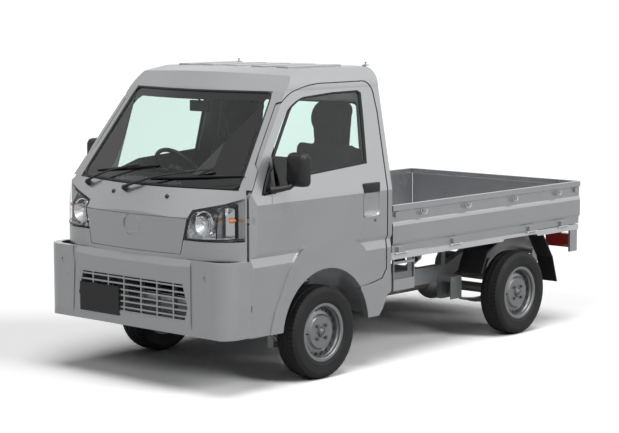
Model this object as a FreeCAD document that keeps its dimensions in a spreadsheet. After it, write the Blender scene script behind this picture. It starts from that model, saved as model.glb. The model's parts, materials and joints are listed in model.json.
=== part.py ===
import FreeCAD, Part
import math
import os
import Sketcher
from FreeCAD import Placement, Rotation, Vector

# Kei truck: forward-control cab, ladder frame, drop-side bed.
# Frame: +X forward, +Y to the truck's left, +Z up; origin on the ground
# under the centre of the bounding box. Millimetres.

doc = FreeCAD.newDocument("kei_truck")
sheet = doc.addObject("Spreadsheet::Sheet", "Sizes")

SIZES = (
    ("overall_length", 3395), ("overall_width", 1475), ("overall_height", 1780),
    ("wheelbase", 1900), ("front_overhang", 821),
    ("track_front", 1305), ("track_rear", 1300),
    ("tyre_diameter", 536), ("tyre_width", 145), ("rim_width", 122),
    ("disc_hole_diameter", 19), ("disc_hole_circle", 258), ("disc_holes", 18),
    ("hub_bore", 60), ("bolt_circle", 100),
    ("seam_gap", 6), ("rear_seam_gap", 10), ("seat_gap", 0.3),
    ("cab_back", 300), ("cab_bottom", 305), ("floor_height", 430), ("seat_box_height", 690),
    ("seat_box_front", 1190), ("sheet_metal", 6), ("door_wall", 46), ("pillar_wall", 30),
    ("roof_wall", 22), ("back_wall", 30), ("front_wall", 44),
    ("arch_radius", 370), ("wheelhouse_inner", 405),
    ("roof_height", 1763), ("belt_height", 1040), ("roof_half_width", 528),
    ("door_front", 1488), ("door_back", 346),
    ("glass_thickness", 5), ("glass_inset", 9),
    ("bumper_top", 742), ("bumper_bottom", 324), ("bumper_wall", 34),
    ("grille_top", 617), ("grille_bottom", 400), ("grille_half_width", 426),
    ("lid_top", 963), ("lid_bottom", 768), ("lid_half_width", 386),
    ("lamp_inner", 404), ("lamp_top", 1006), ("lamp_bottom", 847),
    ("rail_bottom", 359), ("rail_height", 106), ("rail_width", 50), ("rail_centre", 375),
    ("rail_wall", 5), ("rail_kick", 96), ("tow_eye_bore", 26), ("tow_eye_width", 10),
    ("bed_floor_height", 655), ("bed_front", 288), ("bed_inside_length", 1940),
    ("gate_thickness", 24), ("gate_height", 286), ("gate_gap", 8),
    ("hinge_radius", 7), ("sill_bottom", 619),
    ("spring_width", 60), ("spring_track", 470), ("axle_tube_radius", 32),
    ("steering_wheel_diameter", 370), ("steering_wheel_rim", 26), ("column_angle", 36),
    ("seat_width", 470), ("seat_centre", 360),
    ("mirror_width", 140), ("mirror_depth", 65), ("mirror_height", 190),
    ("plate_width", 330), ("plate_height", 165),
    ("kingpin_lean", 11.9), ("kingpin_offset", 605), ("kingpin_foot", 165),
    ("engine_length", 500), ("engine_width", 400), ("engine_height", 300),
)
for row_number, (alias, value) in enumerate(SIZES, start=1):
    sheet.set("A%d" % row_number, alias.replace("_", " "))
    sheet.set("B%d" % row_number, str(value))
    sheet.setAlias("B%d" % row_number, alias)
doc.recompute()


class Sheet:
    """Sizes read from the spreadsheet by name."""

    def __getattr__(self, alias):
        return float(sheet.get(alias))


S = Sheet()

HALF_WIDTH = S.overall_width / 2
NOSE_X = S.overall_length / 2
TAIL_X = -S.overall_length / 2
FRONT_AXLE_X = NOSE_X - S.front_overhang
REAR_AXLE_X = FRONT_AXLE_X - S.wheelbase
WHEEL_RADIUS = S.tyre_diameter / 2
FAR = 3000.0
LEFT, RIGHT = 1, -1
SIDES = (("left", LEFT), ("right", RIGHT))

nodes = {}


# ------------------------------------------------------------------ helpers

def keep(name, shape):
    """Store a coded shape as a document object whose label names its node."""
    feature = doc.addObject("Part::Feature", name)
    feature.Label = name
    solids = shape.Solids
    feature.Shape = solids[0] if len(solids) == 1 else Part.makeCompound(solids)
    nodes[name] = feature
    return feature


def bound(kind, name, **expressions):
    """A Part primitive whose sizes are expressions over the sheet."""
    feature = doc.addObject(kind, name)
    for size, expression in expressions.items():
        feature.setExpression(size, expression)
    return feature


def box(x0, x1, y0, y1, z0, z1):
    low = Vector(min(x0, x1), min(y0, y1), min(z0, z1))
    return Part.makeBox(abs(x1 - x0), abs(y1 - y0), abs(z1 - z0), low)


def rod(start, end, radius):
    start, end = Vector(*start), Vector(*end)
    return Part.makeCylinder(radius, (end - start).Length, start, end - start)


def tube(start, end, radius, bore):
    return rod(start, end, radius).cut(rod(start, end, bore))


def wire(points):
    """Closed wire through points; a point given as ("arc", via, end) is an arc."""
    first = Vector(*points[0])
    last = first
    edges = []
    for point in points[1:]:
        if point[0] == "arc":
            via, end = Vector(*point[1]), Vector(*point[2])
            edges.append(Part.Arc(last, via, end).toShape())
        else:
            end = Vector(*point)
            edges.append(Part.makeLine(last, end))
        last = end
    if last.distanceToPoint(first) > 1e-6:
        edges.append(Part.makeLine(last, first))
    return Part.Wire(edges)


def lift(points, place):
    """Turn 2-D outline points into 3-D ones with place(a, b)."""
    lifted = []
    for point in points:
        if point[0] == "arc":
            lifted.append(("arc", place(*point[1]), place(*point[2])))
        else:
            lifted.append(place(*point))
    return lifted


def slab_y(points, y0, y1):
    """Side outline (x, z) carried from y0 to y1."""
    face = Part.Face(wire(lift(points, lambda x, z: (x, y0, z))))
    return face.extrude(Vector(0, y1 - y0, 0))


def slab_x(points, x0, x1):
    """Front outline (y, z) carried from x0 to x1."""
    face = Part.Face(wire(lift(points, lambda y, z: (x0, y, z))))
    return face.extrude(Vector(x1 - x0, 0, 0))


def slab_z(points, z0, z1):
    """Plan outline (x, y) carried from z0 to z1."""
    face = Part.Face(wire(lift(points, lambda x, y: (x, y, z0))))
    return face.extrude(Vector(0, 0, z1 - z0))


def mirrored(shape):
    return shape.mirror(Vector(0, 0, 0), Vector(0, 1, 0))


def both(shape):
    return join([shape, mirrored(shape)])


def join(shapes):
    shapes = [shape for shape in shapes if shape.Volume > 1e-6]
    if len(shapes) == 1:
        return shapes[0]
    return shapes[0].fuse(shapes[1:])


def on_side(shape, side):
    """A piece drawn on the left, put on the given side."""
    return shape if side == LEFT else mirrored(shape)


def grown(points, by):
    """An (a, b) outline offset outward by a distance, corners kept sharp."""
    outline = wire(lift(points, lambda a, b: (a, b, 0)))
    outer = outline.makeOffset2D(by, 2)
    return outer


def slab_y_grown(points, by, y0, y1):
    """Side outline grown by a gap, carried from y0 to y1."""
    outline = grown(points, by) if by else wire(lift(points, lambda a, b: (a, b, 0)))
    face = Part.Face(outline)
    solid = face.extrude(Vector(0, 0, y1 - y0))
    solid.rotate(Vector(0, 0, 0), Vector(1, 0, 0), 90)
    solid.translate(Vector(0, y1, 0))
    return solid


# ------------------------------------------------------------- cab surfaces

WIDTH_AT_ROOF_SEAM = 628.0
ROOF_SEAM_Z = 1640.0
ARCH_X = FRONT_AXLE_X - 4
ARCH_Z = WHEEL_RADIUS

# Side profile of the nose, screen and roof at three stations across the cab:
# x and z of the nose break, screen foot, screen head and roof brow, then the
# x where the roof turns level.
STATIONS = (
    (0, ((1702, 962), (1600, 1133), (1197, 1652), (1105, 1738)), 880),
    (641, ((1602, 980), (1490, 1122), (1104, 1634), (1015, 1722)), 815),
    (760, ((1590, 985), (1482, 1119), (1097, 1630), (1005, 1719)), 805),
)


def cab_profile(y, screen_inset, roof_inset, back_inset, bottom):
    """Closed side profile of the cab at a station across its width."""
    _, breaks, brow_end = [row for row in STATIONS if row[0] == abs(y)][0]
    top = S.roof_height - roof_inset + 4
    back = S.cab_back + back_inset
    points = [(back, y, bottom), (NOSE_X + 40, y, bottom),
              (NOSE_X + 40, y, breaks[0][1] - 8)]
    for x, z in breaks:
        points.append((x - screen_inset, y, z - roof_inset * (z > ROOF_SEAM_Z + 20)))
    points += [(brow_end, y, top), (back, y, top)]
    return wire(points)


def cab_section(low_inset, high_inset, roof_inset, bottom, creased):
    """Front outline of the cab: upright sides, tumblehome, rounded roof."""
    side = HALF_WIDTH - low_inset
    top = S.roof_height - roof_inset
    half = [(side, bottom)]
    if creased:
        half = [(side - 8, bottom), (side - 8, 700), (side - 15, 750), (side - 1, 776)]
    half += [
        (side, S.belt_height),
        (HALF_WIDTH - high_inset - 4, S.belt_height + 24),
        (WIDTH_AT_ROOF_SEAM - high_inset, ROOF_SEAM_Z),
        ("arc", (603 - high_inset, 1712 - roof_inset),
         (S.roof_half_width - high_inset, top - 6)),
        (0, top),
    ]
    left = wire(lift(half, lambda y, z: (0, y, z)) + [(0, 0, bottom)])
    face = Part.Face(left)
    halfblock = face.extrude(Vector(NOSE_X + 60, 0, 0))
    return halfblock.fuse(mirrored(halfblock)).removeSplitter()


def cab_plan(inset, back_inset, bottom):
    """Plan outline of the cab with the nose bowed and its corners round."""
    side = HALF_WIDTH - inset
    back = S.cab_back + back_inset
    corner = (1652 - inset, 430 - inset * 0.3)
    outline = [
        (back, -side), (1440, -side),
        ("arc", (1565 - inset * 0.7, -668 + inset * 0.7), (corner[0], -corner[1])),
        ("arc", (1690 - inset, 0), corner),
        ("arc", (1565 - inset * 0.7, 668 - inset * 0.7), (1440, side)),
        (back, side),
    ]
    return slab_z(outline, bottom, FAR)


def cab_block(low, high, roof, back, front, bottom, creased=False):
    """The cab's outer form moved inward by the wall of each region."""
    stations = [-760, -641, 0, 641, 760]
    screen = front if front < 20 else high * 1.3
    wires = [cab_profile(y, screen, roof, back, bottom) for y in stations]
    profile = Part.makeLoft(wires, True, False)
    section = cab_section(low, high, roof, bottom, creased)
    return profile.common(section).common(cab_plan(front, back, bottom))


outer = cab_block(0, 0, 0, 0, 0, S.cab_bottom, True)
inner = cab_block(S.door_wall, S.pillar_wall, S.roof_wall, S.back_wall, S.front_wall,
                  S.cab_bottom - 1)
shell = outer.cut(inner)

# Outlines in the side view (x, z).
WIDE_GAP = S.rear_seam_gap
DOOR_OUTLINE = [
    (S.door_front, 317), (S.door_front, 1080), (1412, 1200), (1322, 1349), (1222, 1505),
    ("arc", (1145, 1576), (1055, 1629)), ("arc", (933, 1659), (743, 1672)),
    (450, 1673), ("arc", (385, 1650), (358, 1590)), (S.door_back, 1490),
    (S.door_back, 579), (384, 528), (467, 511), (575, 503), (575, 317),
]
WINDOW_OUTLINE = [
    (1398, 1092), (1377, 1142), (1281, 1302), (1184, 1440), (1112, 1530),
    ("arc", (1040, 1577), (949, 1606)), (714, 1622), (492, 1625), (462, 1610),
    (470, 1467), (493, 1205), (980, 1174), (1203, 1102), (1379, 1088),
]
SAIL_SPLIT_X = 1290
ARCH = Part.makeCylinder(S.arch_radius, 2 * FAR, Vector(ARCH_X, -FAR, ARCH_Z), Vector(0, 1, 0))
ARCH_BELOW = box(ARCH_X - S.arch_radius, ARCH_X + S.arch_radius, -FAR, FAR, 0, ARCH_Z)
SCREEN_TOP_HALF, SCREEN_FOOT_HALF = 551, 645
SCREEN_FOOT_Z, SCREEN_TOP_Z = 1123, 1634


def screen_slab(shrink, foot, top):
    """Prism through the screen opening, narrowed by a margin."""
    slope = (SCREEN_FOOT_HALF - SCREEN_TOP_HALF) / (SCREEN_TOP_Z - SCREEN_FOOT_Z)
    low = SCREEN_FOOT_HALF + (SCREEN_FOOT_Z - foot) * slope - shrink
    high = SCREEN_TOP_HALF - (top - SCREEN_TOP_Z) * slope - shrink
    return slab_x([(-low, foot), (low, foot), (high, top), (-high, top)], 1000, NOSE_X + 50)


def door_slab(side, gap):
    """Prism of the door opening; the rear seam is cut wider for the swing."""
    slab = slab_y_grown(DOOR_OUTLINE, gap, 430, FAR)
    if gap > 0:
        curve = slab.copy()
        curve.translate(Vector(gap - WIDE_GAP, 0, 0))
        slab = slab.fuse(curve.common(box(0, 700, 430, FAR, 520, 1700)))
    return on_side(slab.cut(inside_doors(gap)), side)


def inside_doors(gap):
    """What lies inboard of the doors, whose frames follow the side walls."""
    low, high = S.door_wall + gap, S.pillar_wall + gap
    return cab_section(low, high, 0, 0, False)


DOOR_HINGE_X = S.door_front - 18
DOOR_HINGE_Y = HALF_WIDTH - 15
HINGE_SWEEP = math.hypot(18, 15) + 7.6
DOOR_HINGE_HEIGHTS = (480, 960)

roof_zone = slab_y([(200, 1690), (930, 1690), (1100, 1640), (1400, 1640), (1400, 1900),
                    (200, 1900)], -FAR, FAR)
nose_zone = slab_y([(S.door_front + S.seam_gap, 0), (S.door_front + S.seam_gap, 1118),
                    (NOSE_X + 60, 1118), (NOSE_X + 60, 0)], -FAR, FAR)
back_zone = box(0, S.cab_back + S.back_wall, -600, 600, 0, 1690)
bottom_zone = slab_y([(640, 0), (640, 301), (410, 301), (374, 344), (332, 421),
                      (S.cab_back - 10, 440), (0, 440), (0, 0)], -FAR, FAR)
door_openings = [door_slab(side, S.seam_gap) for _, side in SIDES]
hinge_reliefs = [rod((DOOR_HINGE_X, side * DOOR_HINGE_Y, 0),
                     (DOOR_HINGE_X, side * DOOR_HINGE_Y, 1125), HINGE_SWEEP)
                 for _, side in SIDES]


def cab_side_frames():
    """Pillars, roof rails and the fender behind each wheel."""
    frames = shell.cut([roof_zone, nose_zone, back_zone, bottom_zone, ARCH, ARCH_BELOW])
    frames = frames.cut(door_openings + hinge_reliefs)
    frames = frames.cut(screen_slab(0, SCREEN_FOOT_Z - 5, 1700))
    frames = frames.cut(box(ARCH_X, NOSE_X, -FAR, FAR, 0, 1000))
    keep("cab_side_frames", frames)


def cab_roof():
    """Roof skin with raised ribs, its header over the screen and four hooks."""
    roof = shell.common(roof_zone)
    ribs = []
    for y in (-400, -200, 0, 200, 400):
        rib = box(420, 880, y - 45, y + 45, S.roof_height - 12, S.roof_height + 5)
        edges = [edge for edge in rib.Edges if edge.BoundBox.ZMin > S.roof_height]
        ribs.append(rib.makeChamfer(4.5, edges))
    keep("cab_roof", join([roof] + ribs))
    hooks = []
    for x, y in ((287, 520), (287, -520)):
        base = box(x - 16, x + 16, y - 12, y + 12, S.roof_height - 5.7, S.roof_height + 1)
        stem = rod((x, y, S.roof_height), (x, y, S.overall_height - 6), 4)
        tip = rod((x, y, S.overall_height - 6), (x, y, S.overall_height), 7)
        hooks += [base, stem, tip]
    keep("roof_hooks", join(hooks))


def cab_back_panel():
    """Rear wall with its window opening and pressed ribs."""
    panel = shell.common(back_zone).cut(box(0, FAR, -FAR, FAR, 0, S.seat_box_height - 20))
    window = slab_x([(-515, 1170), (515, 1170), (480, 1545), (-480, 1545)], 0, 400)
    panel = panel.cut(window)
    grooves = [box(0, S.cab_back + 5, y - 50, y + 50, 720, 1090)
               for y in (-400, -200, 0, 200, 400)]
    keep("cab_back_panel", panel.cut(grooves))


def cab_nose():
    """Front panel, lamp corners and cowl below the screen."""
    nose = shell.common(nose_zone).cut(hinge_reliefs)
    nose = nose.cut(box(1300, NOSE_X + 60, -FAR, FAR, 0, S.bumper_top + S.seat_gap))
    lamp = lamp_slab(3)
    skin = outer.cut(cab_block(0, 0, 0, 0, 16 + S.seat_gap, S.cab_bottom - 1))
    nose = nose.cut([lamp, mirrored(lamp), skin.common(lid_slab(4)), lid_slab(-10)])
    leaves = [hinge_leaf(z) for z in DOOR_HINGE_HEIGHTS]
    keep("cab_nose", nose.fuse([both(leaf) for leaf in leaves]))
    nodes_lid = outer.cut(cab_block(6, 6, 0, 0, 16, S.cab_bottom - 1)).common(lid_slab(0))
    dish = Part.makeCylinder(62, 60, Vector(1684, 0, 905), Vector(1, 0, 0))
    nodes_lid = nodes_lid.cut(dish)
    keep("front_lid", nodes_lid)


def hinge_leaf(z):
    """Fixed half of a door hinge: a barrel on an arm out of the nose."""
    x, y = DOOR_HINGE_X, DOOR_HINGE_Y
    arm = slab_z([(x - 4, y - 4), (x + 4, y), (x + 16, y - 20), (x + 36, y - 22),
                  (x + 36, y - 29), (x + 11, y - 29)], z - 14, z + 14)
    barrel = rod((x, y, z - 14), (x, y, z + 14), 8)
    return join([arm, barrel]).cut(rod((x, y, z - 20), (x, y, z + 20), 5 + S.seat_gap))


def hinge_pocket(z):
    """Room in the door round a hinge leaf, inside the outer skin."""
    x, y = DOOR_HINGE_X, DOOR_HINGE_Y
    room = rod((x, y, z - 20), (x, y, z + 20), HINGE_SWEEP + 6)
    return room.common(box(0, FAR, 0, y + 9, 0, FAR))


def lid_slab(margin):
    half_top = S.lid_half_width + 22 + margin
    half_foot = S.lid_half_width - 22 + margin
    return slab_x([(-half_foot, S.lid_bottom - margin), (half_foot, S.lid_bottom - margin),
                   (half_top, S.lid_top + margin), (-half_top, S.lid_top + margin)],
                  1560, NOSE_X + 60)


def lamp_slab(margin):
    """Left headlamp outline seen from the front, carried back over the corner."""
    inner_top = S.lamp_inner + 17 - margin
    inner_foot = S.lamp_inner - 16 - margin
    return slab_x([(inner_foot, S.lamp_bottom - margin), (FAR, 861 - margin),
                   (FAR, 1083 + margin), (700, 1078 + margin),
                   (600, 1045 + margin), (inner_top, S.lamp_top + margin)],
                  S.door_front + S.seam_gap + 14, NOSE_X + 60)


def cab_glass():
    """Screen and rear window, each let into its opening."""
    inset = S.glass_inset
    thick = inset + S.glass_thickness
    pane = cab_block(inset, inset, inset, inset, inset, S.cab_bottom)
    pane = pane.cut(cab_block(thick, thick, thick, thick, thick, S.cab_bottom - 1))
    screen = pane.common(screen_slab(2, SCREEN_FOOT_Z - 4.7, SCREEN_TOP_Z + 5.7))
    rear = slab_x([(-514.7, 1170.3), (514.7, 1170.3), (479.7, 1544.7), (-479.7, 1544.7)],
                  S.cab_back + 8, S.cab_back + 8 + S.glass_thickness)
    keep("cab_glass", join([screen, rear]))


def door_pieces(name, side):
    """A door as thick as the whole wall, its pane and the mirror on its sail."""
    slab = door_slab(side, 0)
    window = on_side(slab_y_grown(WINDOW_OUTLINE, 0, 400, FAR), side)
    door = shell.common(slab).cut([ARCH, ARCH_BELOW, window])
    ridge = on_side(FLARE, side)
    door = door.fuse(ridge.common(outer_full).common(slab).cut([ARCH, inner]))
    door = door.common(on_side(box(0, FAR, 0, FAR, 0, FAR), side))
    recess = on_side(box(410, 556, HALF_WIDTH - 22, FAR, 898, 1050), side)
    grip = on_side(box(430, 540, HALF_WIDTH - 22, HALF_WIDTH - 8, 1012, 1050), side)
    door = door.cut(recess).fuse(grip)
    pillar_bar = box(SAIL_SPLIT_X - 9, SAIL_SPLIT_X + 9, 400, FAR, 1050, 1400)
    bar = shell.common(on_side(pillar_bar.common(slab_y_grown(WINDOW_OUTLINE, 0.5, 400, FAR)),
                               side))
    door = door.fuse(bar)
    for z in DOOR_HINGE_HEIGHTS:
        pin = rod((DOOR_HINGE_X, DOOR_HINGE_Y, z - 21), (DOOR_HINGE_X, DOOR_HINGE_Y, z + 21), 5)
        door = door.cut(on_side(hinge_pocket(z), side)).fuse(on_side(pin, side))
    keep("door_" + name, door)

    pane_in, pane_out = 12 + S.glass_thickness, 12
    layer = cab_block(pane_out, pane_out, pane_out, 0, 0, S.cab_bottom)
    layer = layer.cut(cab_block(pane_in, pane_in, pane_in, 0, 0, S.cab_bottom - 1))
    opening = on_side(slab_y_grown(WINDOW_OUTLINE, -S.seat_gap, 400, FAR), side)
    pane = layer.common(opening)
    keep("door_glass_" + name, pane.cut(door))

    centre_x, centre_y, centre_z = 1212, 822, 1224
    half_w, half_d, half_h = S.mirror_width / 2, S.mirror_depth / 2, S.mirror_height / 2
    housing = box(centre_x - half_d, centre_x + half_d, centre_y - half_w, centre_y + half_w,
                  centre_z - half_h, centre_z + half_h)
    housing = housing.makeFillet(20, housing.Edges)
    glass_bay = box(centre_x - half_d - 1, centre_x - half_d + 5, centre_y - half_w + 10,
                    centre_y + half_w - 10, centre_z - half_h + 12, centre_z + half_h - 12)
    housing = housing.cut(glass_bay)
    foot = slab_y([(1352, 1090), (1296, 1098), (1296, 1180), (1310, 1180)], 690, 760)
    foot = foot.cut(outer)
    arm = rod((1322, 748, 1112), (centre_x + 5, centre_y - half_w + 40, centre_z - half_h + 15),
              12)
    mirror = join([housing, foot, arm.cut(outer)])
    keep("mirror_" + name, on_side(mirror, side))


outer_full = cab_block(-1, 0, 0, 0, 0, S.cab_bottom)
FLARE = slab_y([(1340, 317), (1301, 443), (1188, 653),
                ("arc", (1060, 772), (883, 809)), ("arc", (690, 795), (554, 730)),
                (523, 686), (500, 579), (520, 440), (520, 300)], 700, FAR)


def bumper_plan(inset, x_back):
    """Plan outline of the bumper, almost straight across with round corners."""
    side = HALF_WIDTH - inset
    return [(x_back, -side), (1570, -side + 2),
            ("arc", (1664 - inset, -700 + inset), (1688 - inset, -596 + inset * 0.4)),
            ("arc", (NOSE_X - inset, 0), (1688 - inset, 596 - inset * 0.4)),
            ("arc", (1664 - inset, 700 - inset), (1570, side - 2)), (x_back, side)]


def front_bumper():
    """Full-width bumper with its mouth, corner pads and lower lip."""
    back = S.door_front + S.seam_gap
    low, top = S.bumper_bottom, S.bumper_top
    body = slab_z(bumper_plan(0, back), low, top)
    body = body.cut(slab_z(bumper_plan(S.bumper_wall, back - 1), low - 1, top + 1))
    chin = slab_z(bumper_plan(12, back + 50), low, low + 22)
    chin = chin.cut(slab_z(bumper_plan(70, back), low - 1, low + 30))
    body = join([body, chin])
    slope = slab_y([(NOSE_X + 5, low - 1), (NOSE_X - 18, low - 1), (NOSE_X - 4, 395),
                    (NOSE_X + 5, 395)], -FAR, FAR)
    brow = slab_y([(NOSE_X + 5, top + 1), (NOSE_X - 16, top + 1), (NOSE_X - 3, 700),
                   (NOSE_X + 5, 700)], -FAR, FAR)
    brow = brow.common(box(0, FAR, -470, 470, 0, FAR))
    mouth = slab_x(MOUTH, 1500, FAR)
    recess = both(slab_x([(492, 756), (498, 700), (486, 640), (500, 391), (505, 300),
                          (478, 300), (470, 391), (468, 756)], NOSE_X - 12, FAR))
    cap = both(Part.makeCylinder(15, 6, Vector(1684, 584, 653), Vector(1, 0, 0)))
    pocket = box(NOSE_X - 9, FAR, -437, -99, 372, 402)
    body = body.cut([slope, brow, mouth, recess, cap, pocket])
    body = body.cut(hinge_reliefs)
    keep("front_bumper", body)

    frame_back = NOSE_X - S.bumper_wall - 6
    bars = []
    for z in (594, 561, 528, 495, 462, 429):
        bars.append(box(frame_back, NOSE_X - 9, -470, 470, z - 4.5, z + 4.5))
    for y in (-330, -200, -70, 70, 200, 330):
        bars.append(box(frame_back, NOSE_X - 11, y - 5, y + 5, 400, 620))
    bezel = slab_x(MOUTH, frame_back, NOSE_X - 6).cut(slab_x(MOUTH_INNER, 0, FAR))
    plug = slab_x(MOUTH, frame_back, NOSE_X)
    grille = join(bars).common(plug).fuse(bezel.common(plug))
    keep("lower_grille", grille)

    plate = box(NOSE_X - 3.5, NOSE_X - 0.5, -433, -433 + S.plate_width, 377,
                377 + S.plate_height)
    bosses = [box(NOSE_X - 8.7, NOSE_X - 3.4, y - 8, y + 8, 425, 433) for y in (-380, -156)]
    plate = join([plate] + bosses)
    rear_plate = box(TAIL_X + 24, TAIL_X + 27, -165, 165, 420, 585)
    keep("number_plates", join([plate, rear_plate]))


MOUTH = [(-S.grille_half_width + 3, S.grille_top), (S.grille_half_width - 3, S.grille_top),
         (S.grille_half_width + 38, 476), (S.grille_half_width + 10, S.grille_bottom),
         (-S.grille_half_width - 10, S.grille_bottom), (-S.grille_half_width - 38, 476)]
MOUTH_INNER = [(-S.grille_half_width + 18, S.grille_top - 10),
               (S.grille_half_width - 18, S.grille_top - 10),
               (S.grille_half_width + 22, 480),
               (S.grille_half_width - 2, S.grille_bottom + 10),
               (-S.grille_half_width + 2, S.grille_bottom + 10),
               (-S.grille_half_width - 22, 480)]


def headlamps():
    """Clear-lens lamp bodies wrapped over each nose corner."""
    skin = outer.cut(cab_block(4, 4, 0, 0, 4, S.cab_bottom - 1))
    lens = skin.common(lamp_slab(0))
    case = cab_block(5, 5, 0, 0, 5, S.cab_bottom).cut(
        cab_block(60, 60, 0, 0, 78, S.cab_bottom - 1))
    case = case.common(lamp_slab(-2))
    hollow = cab_block(9, 9, 0, 0, 9, S.cab_bottom).cut(
        cab_block(50, 50, 0, 0, 66, S.cab_bottom - 1))
    case = case.cut(hollow.common(lamp_slab(-9)))
    bowl = rod((1585, 500, 935), (1625, 500, 935), 62).cut(
        Part.makeCone(20, 56, 34, Vector(1592, 500, 935), Vector(1, 0, 0)))
    divider = box(1500, 1640, 588, 596, 862, 1040).common(
        cab_block(9, 9, 0, 0, 9, S.cab_bottom)).common(lamp_slab(-3))
    case = join([case, bowl.common(cab_block(9, 9, 0, 0, 9, S.cab_bottom)), divider])
    keep("headlamp_lenses", both(lens))
    keep("headlamp_cases", both(case))


def wipers():
    """Two arms and blades parked along the screen's foot."""
    pieces = []
    for pivot, elbow, tip in (((1629, -110, 1100), (1587, 40, 1165), (1484, 420, 1215)),
                              ((1541, -511, 1100), (1541, -330, 1170), (1545, 10, 1222))):
        shaft = rod((pivot[0] - 30, pivot[1], pivot[2] - 18), pivot, 11)
        arm = join([rod(pivot, elbow, 6), rod(elbow, tip, 4)])
        pieces.append(join([shaft, arm, Part.makeSphere(12, Vector(*pivot))]))
    pieces = [piece.cut(outer) for piece in pieces]
    keep("wipers", Part.makeCompound([solid for piece in pieces for solid in piece.Solids]))


# ------------------------------------------------- sketched (PartDesign) bodies

def sketched(body, role, outline):
    """Closed sketch on one of the body's origin planes, from a 2-D outline."""
    sketch = body.newObject("Sketcher::SketchObject", body.Name + "_sketch")
    plane = [item for item in body.Origin.OriginFeatures if item.Role == role][0]
    sketch.AttachmentSupport = [(plane, "")]
    sketch.MapMode = "FlatFace"
    last = outline[0]
    for point in outline[1:] + [outline[0]]:
        if point[0] == "arc":
            end = point[2]
            curve = Part.Arc(Vector(*last, 0), Vector(*point[1], 0), Vector(*end, 0))
            sketch.addGeometry(curve, False)
        else:
            end = point
            if math.dist(last, end) < 1e-6:
                continue
            sketch.addGeometry(Part.LineSegment(Vector(*last, 0), Vector(*end, 0)), False)
        last = end
    ends = [(sketch.getPoint(i, 1), sketch.getPoint(i, 2)) for i in range(sketch.GeometryCount)]
    for index in range(len(ends)):
        after = (index + 1) % len(ends)
        pairs = [(a, b) for a in (1, 2) for b in (1, 2)
                 if ends[index][a - 1].distanceToPoint(ends[after][b - 1]) < 1e-5]
        first, second = pairs[0]
        sketch.addConstraint(Sketcher.Constraint("Coincident", index, first, after, second))
    return sketch


def turned_body(name, outline):
    """Body turned about its own Y axis from an outline of (radius, y) points."""
    body = doc.addObject("PartDesign::Body", name)
    sketch = sketched(body, "XY_Plane", outline)
    turn = body.newObject("PartDesign::Revolution", name + "_turn")
    turn.Profile = sketch
    turn.ReferenceAxis = (sketch, ["V_Axis"])
    turn.Angle = 360
    doc.recompute()
    return body


def padded_body(name, role, outline, length_expression):
    """Body padded from an outline, its length bound to the sheet."""
    body = doc.addObject("PartDesign::Body", name)
    sketch = sketched(body, role, outline)
    pad = body.newObject("PartDesign::Pad", name + "_pad")
    pad.Profile = sketch
    pad.setExpression("Length", length_expression)
    doc.recompute()
    return body


def place_body(body, name, position, turned=0):
    body.Label = name
    body.Placement = Placement(Vector(*position), Rotation(Vector(0, 0, 1), turned))
    nodes[name] = body


# ------------------------------------------------------------------- wheels

AXLES = (("front", FRONT_AXLE_X, S.track_front), ("rear", REAR_AXLE_X, S.track_rear))
BEAD = 152.4
FLANGE = BEAD + 17.3
HALF_RIM = S.rim_width / 2
HALF_TYRE = S.tyre_width / 2


def tyre_outline():
    """Half-round casing on two beads; the air space is open to the rim."""
    bead = BEAD + S.seat_gap
    edge = HALF_RIM - 4.4
    crown = WHEEL_RADIUS
    return [(bead, edge), (FLANGE + 0.6, edge),
            ("arc", (214, HALF_TYRE), (crown - 17, HALF_TYRE - 9)),
            (crown - 4, HALF_TYRE - 20), (crown, 0), (crown - 4, 20 - HALF_TYRE),
            (crown - 17, 9 - HALF_TYRE),
            ("arc", (214, -HALF_TYRE), (FLANGE + 0.6, -edge)),
            (bead, -edge), (bead, 14 - edge), (205, 12 - HALF_TYRE),
            (crown - 16, 26 - HALF_TYRE), (crown - 13, 0), (crown - 16, HALF_TYRE - 26),
            (205, HALF_TYRE - 12), (bead, edge - 14)]


def rim_outline():
    """Pressed disc and well-base rim in one section."""
    half = HALF_RIM
    bore = S.hub_bore / 2
    return [(FLANGE, half), (FLANGE, half - 3.5), (BEAD, half - 4), (BEAD, 40), (147, 30),
            (147, -20), (BEAD, -35), (BEAD, 4 - half), (FLANGE, 3.5 - half),
            (FLANGE, -half), (153, -half), (148, 5 - half), (148, -38), (143, -22),
            (143, 8), (116, 20), (99, 24), (90, 38), (bore, 38), (bore, 42), (92, 42),
            (103, 28), (119, 24), (143, 12), (143, 32), (148, 43), (148, half - 5),
            (153, half)]


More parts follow.
